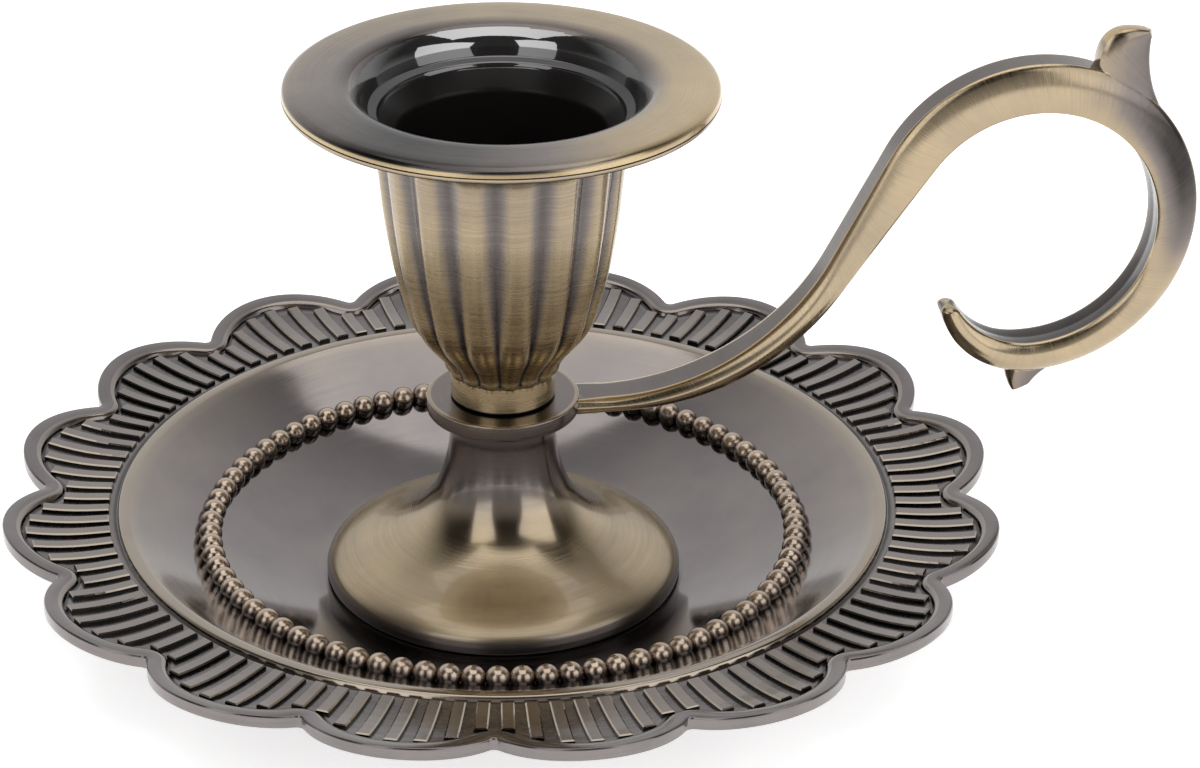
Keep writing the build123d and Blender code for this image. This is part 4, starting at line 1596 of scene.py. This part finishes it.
def studio_world(studio):
    """White behind the object, dimmer on the camera's side where the studio is dark."""
    world = bpy.data.worlds.new("Studio")
    world.use_nodes = True
    tree = world.node_tree
    tree.nodes.clear()
    seen, by_camera = seen_white(tree)
    heading = add_node(
        tree, "ShaderNodeSeparateXYZ", {0: add_node(tree, "ShaderNodeTexCoord").outputs["Generated"]}
    ).outputs
    behind = add_node(
        tree, "ShaderNodeMapRange",
        {"Value": heading["Y"], "From Min": 0.0, "From Max": 0.75, "To Min": 0.03, "To Max": 0.95},
        interpolation_type="SMOOTHSTEP",
    )
    # The paper's far end still shows low down on the dark side
    paper = add_node(
        tree, "ShaderNodeMapRange",
        {"Value": heading["Z"], "From Min": 0.05, "From Max": 0.55, "To Min": 0.5, "To Max": 0.03},
        interpolation_type="SMOOTHSTEP",
    )
    round_about = add_node(tree, "ShaderNodeMath", {0: behind, 1: paper}, operation="MAXIMUM")
    shown = add_node(tree, "ShaderNodeMath", {0: round_about, 1: by_camera}, operation="MAXIMUM")
    backdrop = add_node(tree, "ShaderNodeBackground", {"Color": (1, 1, 1, 1), "Strength": shown})
    fill = add_node(tree, "ShaderNodeBackground", {"Color": (1, 1, 1, 1), "Strength": studio.fill})
    mixed = add_node(tree, "ShaderNodeMixShader", {0: seen, 1: fill, 2: backdrop})
    add_node(tree, "ShaderNodeOutputWorld", {"Surface": mixed})
    bpy.context.scene.world = world


def white_floor():
    """Matt white paper that glows just enough, where it is seen, to join the white background."""
    material, tree = new_material("Matt white paper")
    seen, _ = seen_white(tree)
    paper = add_node(tree, "ShaderNodeBsdfDiffuse", {"Color": linear("#F2F2F2")})
    glow = add_node(tree, "ShaderNodeMath", {0: seen, 1: FLOOR_GLOW}, operation="MULTIPLY")
    lit = add_node(tree, "ShaderNodeEmission", {"Color": (1, 1, 1, 1), "Strength": glow})
    both = add_node(tree, "ShaderNodeAddShader", {0: paper, 1: lit})
    add_node(tree, "ShaderNodeOutputMaterial", {"Surface": both})
    return material


class CHAMBERSTICK_OT_stage(bpy.types.Operator):
    """Sets the pale floor, the soft studio light and the camera"""
    bl_idname = "chamberstick.stage"
    bl_label = "Stage"

    def execute(self, context):
        studio = context.scene.studio_settings
        scene = context.scene
        work = bmesh.new()
        bmesh.ops.create_grid(work, x_segments=1, y_segments=1, size=FLOOR_HALF_WIDTH)
        bmesh.ops.translate(work, vec=(0, 0, -FLOOR_DROP), verts=work.verts)
        mesh = bpy.data.meshes.new("floor")
        work.to_mesh(mesh)
        work.free()
        mesh.materials.append(white_floor())
        floor = bpy.data.objects.new("floor", mesh)
        scene.collection.objects.link(floor)

        for name, place, target, (width, height) in SOFTBOXES:
            lamp = bpy.data.lights.new(name, "AREA")
            lamp.shape = "RECTANGLE"
            lamp.size = width
            lamp.size_y = height
            lamp.energy = studio.softbox * pi * width * height
            softbox = bpy.data.objects.new(name, lamp)
            softbox.location = place
            softbox.rotation_euler = (Vector(target) - Vector(place)).to_track_quat("-Z", "Y").to_euler()
            scene.collection.objects.link(softbox)
        studio_world(studio)

        lens = bpy.data.cameras.new("camera")
        lens.lens = CAMERA_LENS
        lens.clip_start = 0.01
        camera = bpy.data.objects.new("camera", lens)
        turn = Euler((pi / 2 - CAMERA_DOWN, 0.0, -CAMERA_RIGHT)).to_matrix()
        camera.matrix_world = Matrix.LocRotScale(
            Vector(CAMERA_PLACE) * MM, turn @ Matrix.Rotation(CAMERA_ROLL, 3, "Z"), None
        )
        scene.collection.objects.link(camera)
        scene.camera = camera
        scene.view_settings.view_transform = "Standard"
        return {"FINISHED"}


# Panel and registration

class CHAMBERSTICK_PT_panel(bpy.types.Panel):
    """Lists the chamberstick's settings and the operators that build it"""
    bl_idname = "CHAMBERSTICK_PT_panel"
    bl_label = "Chamberstick"
    bl_space_type = "VIEW_3D"
    bl_region_type = "UI"
    bl_category = "Chamberstick"

    def draw(self, context):
        for operator in OPERATORS:
            self.layout.operator(operator.bl_idname)
        for name in SETTINGS:
            box = self.layout.box()
            group = getattr(context.scene, name)
            for key, kind in group.bl_rna.properties.items():
                if kind.is_runtime:
                    box.prop(group, key)


OPERATORS = (
    CHAMBERSTICK_OT_drip_plate,
    CHAMBERSTICK_OT_pedestal,
    CHAMBERSTICK_OT_handle,
    CHAMBERSTICK_OT_candle_cup,
    CHAMBERSTICK_OT_fixings,
    CHAMBERSTICK_OT_stage,
)


def register():
    for group in SETTINGS.values():
        bpy.utils.register_class(group)
    for operator in OPERATORS:
        bpy.utils.register_class(operator)
    bpy.utils.register_class(CHAMBERSTICK_PT_panel)
    for name, group in SETTINGS.items():
        setattr(bpy.types.Scene, name, bpy.props.PointerProperty(type=group))


def unregister():
    for name in SETTINGS:
        delattr(bpy.types.Scene, name)
    bpy.utils.unregister_class(CHAMBERSTICK_PT_panel)
    for operator in reversed(OPERATORS):
        bpy.utils.unregister_class(operator)
    for group in reversed(SETTINGS.values()):
        bpy.utils.unregister_class(group)


def main():
    register()
    bpy.ops.chamberstick.drip_plate()
    bpy.ops.chamberstick.pedestal()
    bpy.ops.chamberstick.handle()
    bpy.ops.chamberstick.candle_cup()
    bpy.ops.chamberstick.fixings()
    bpy.ops.chamberstick.stage()


if __name__ == "__main__":
    main()
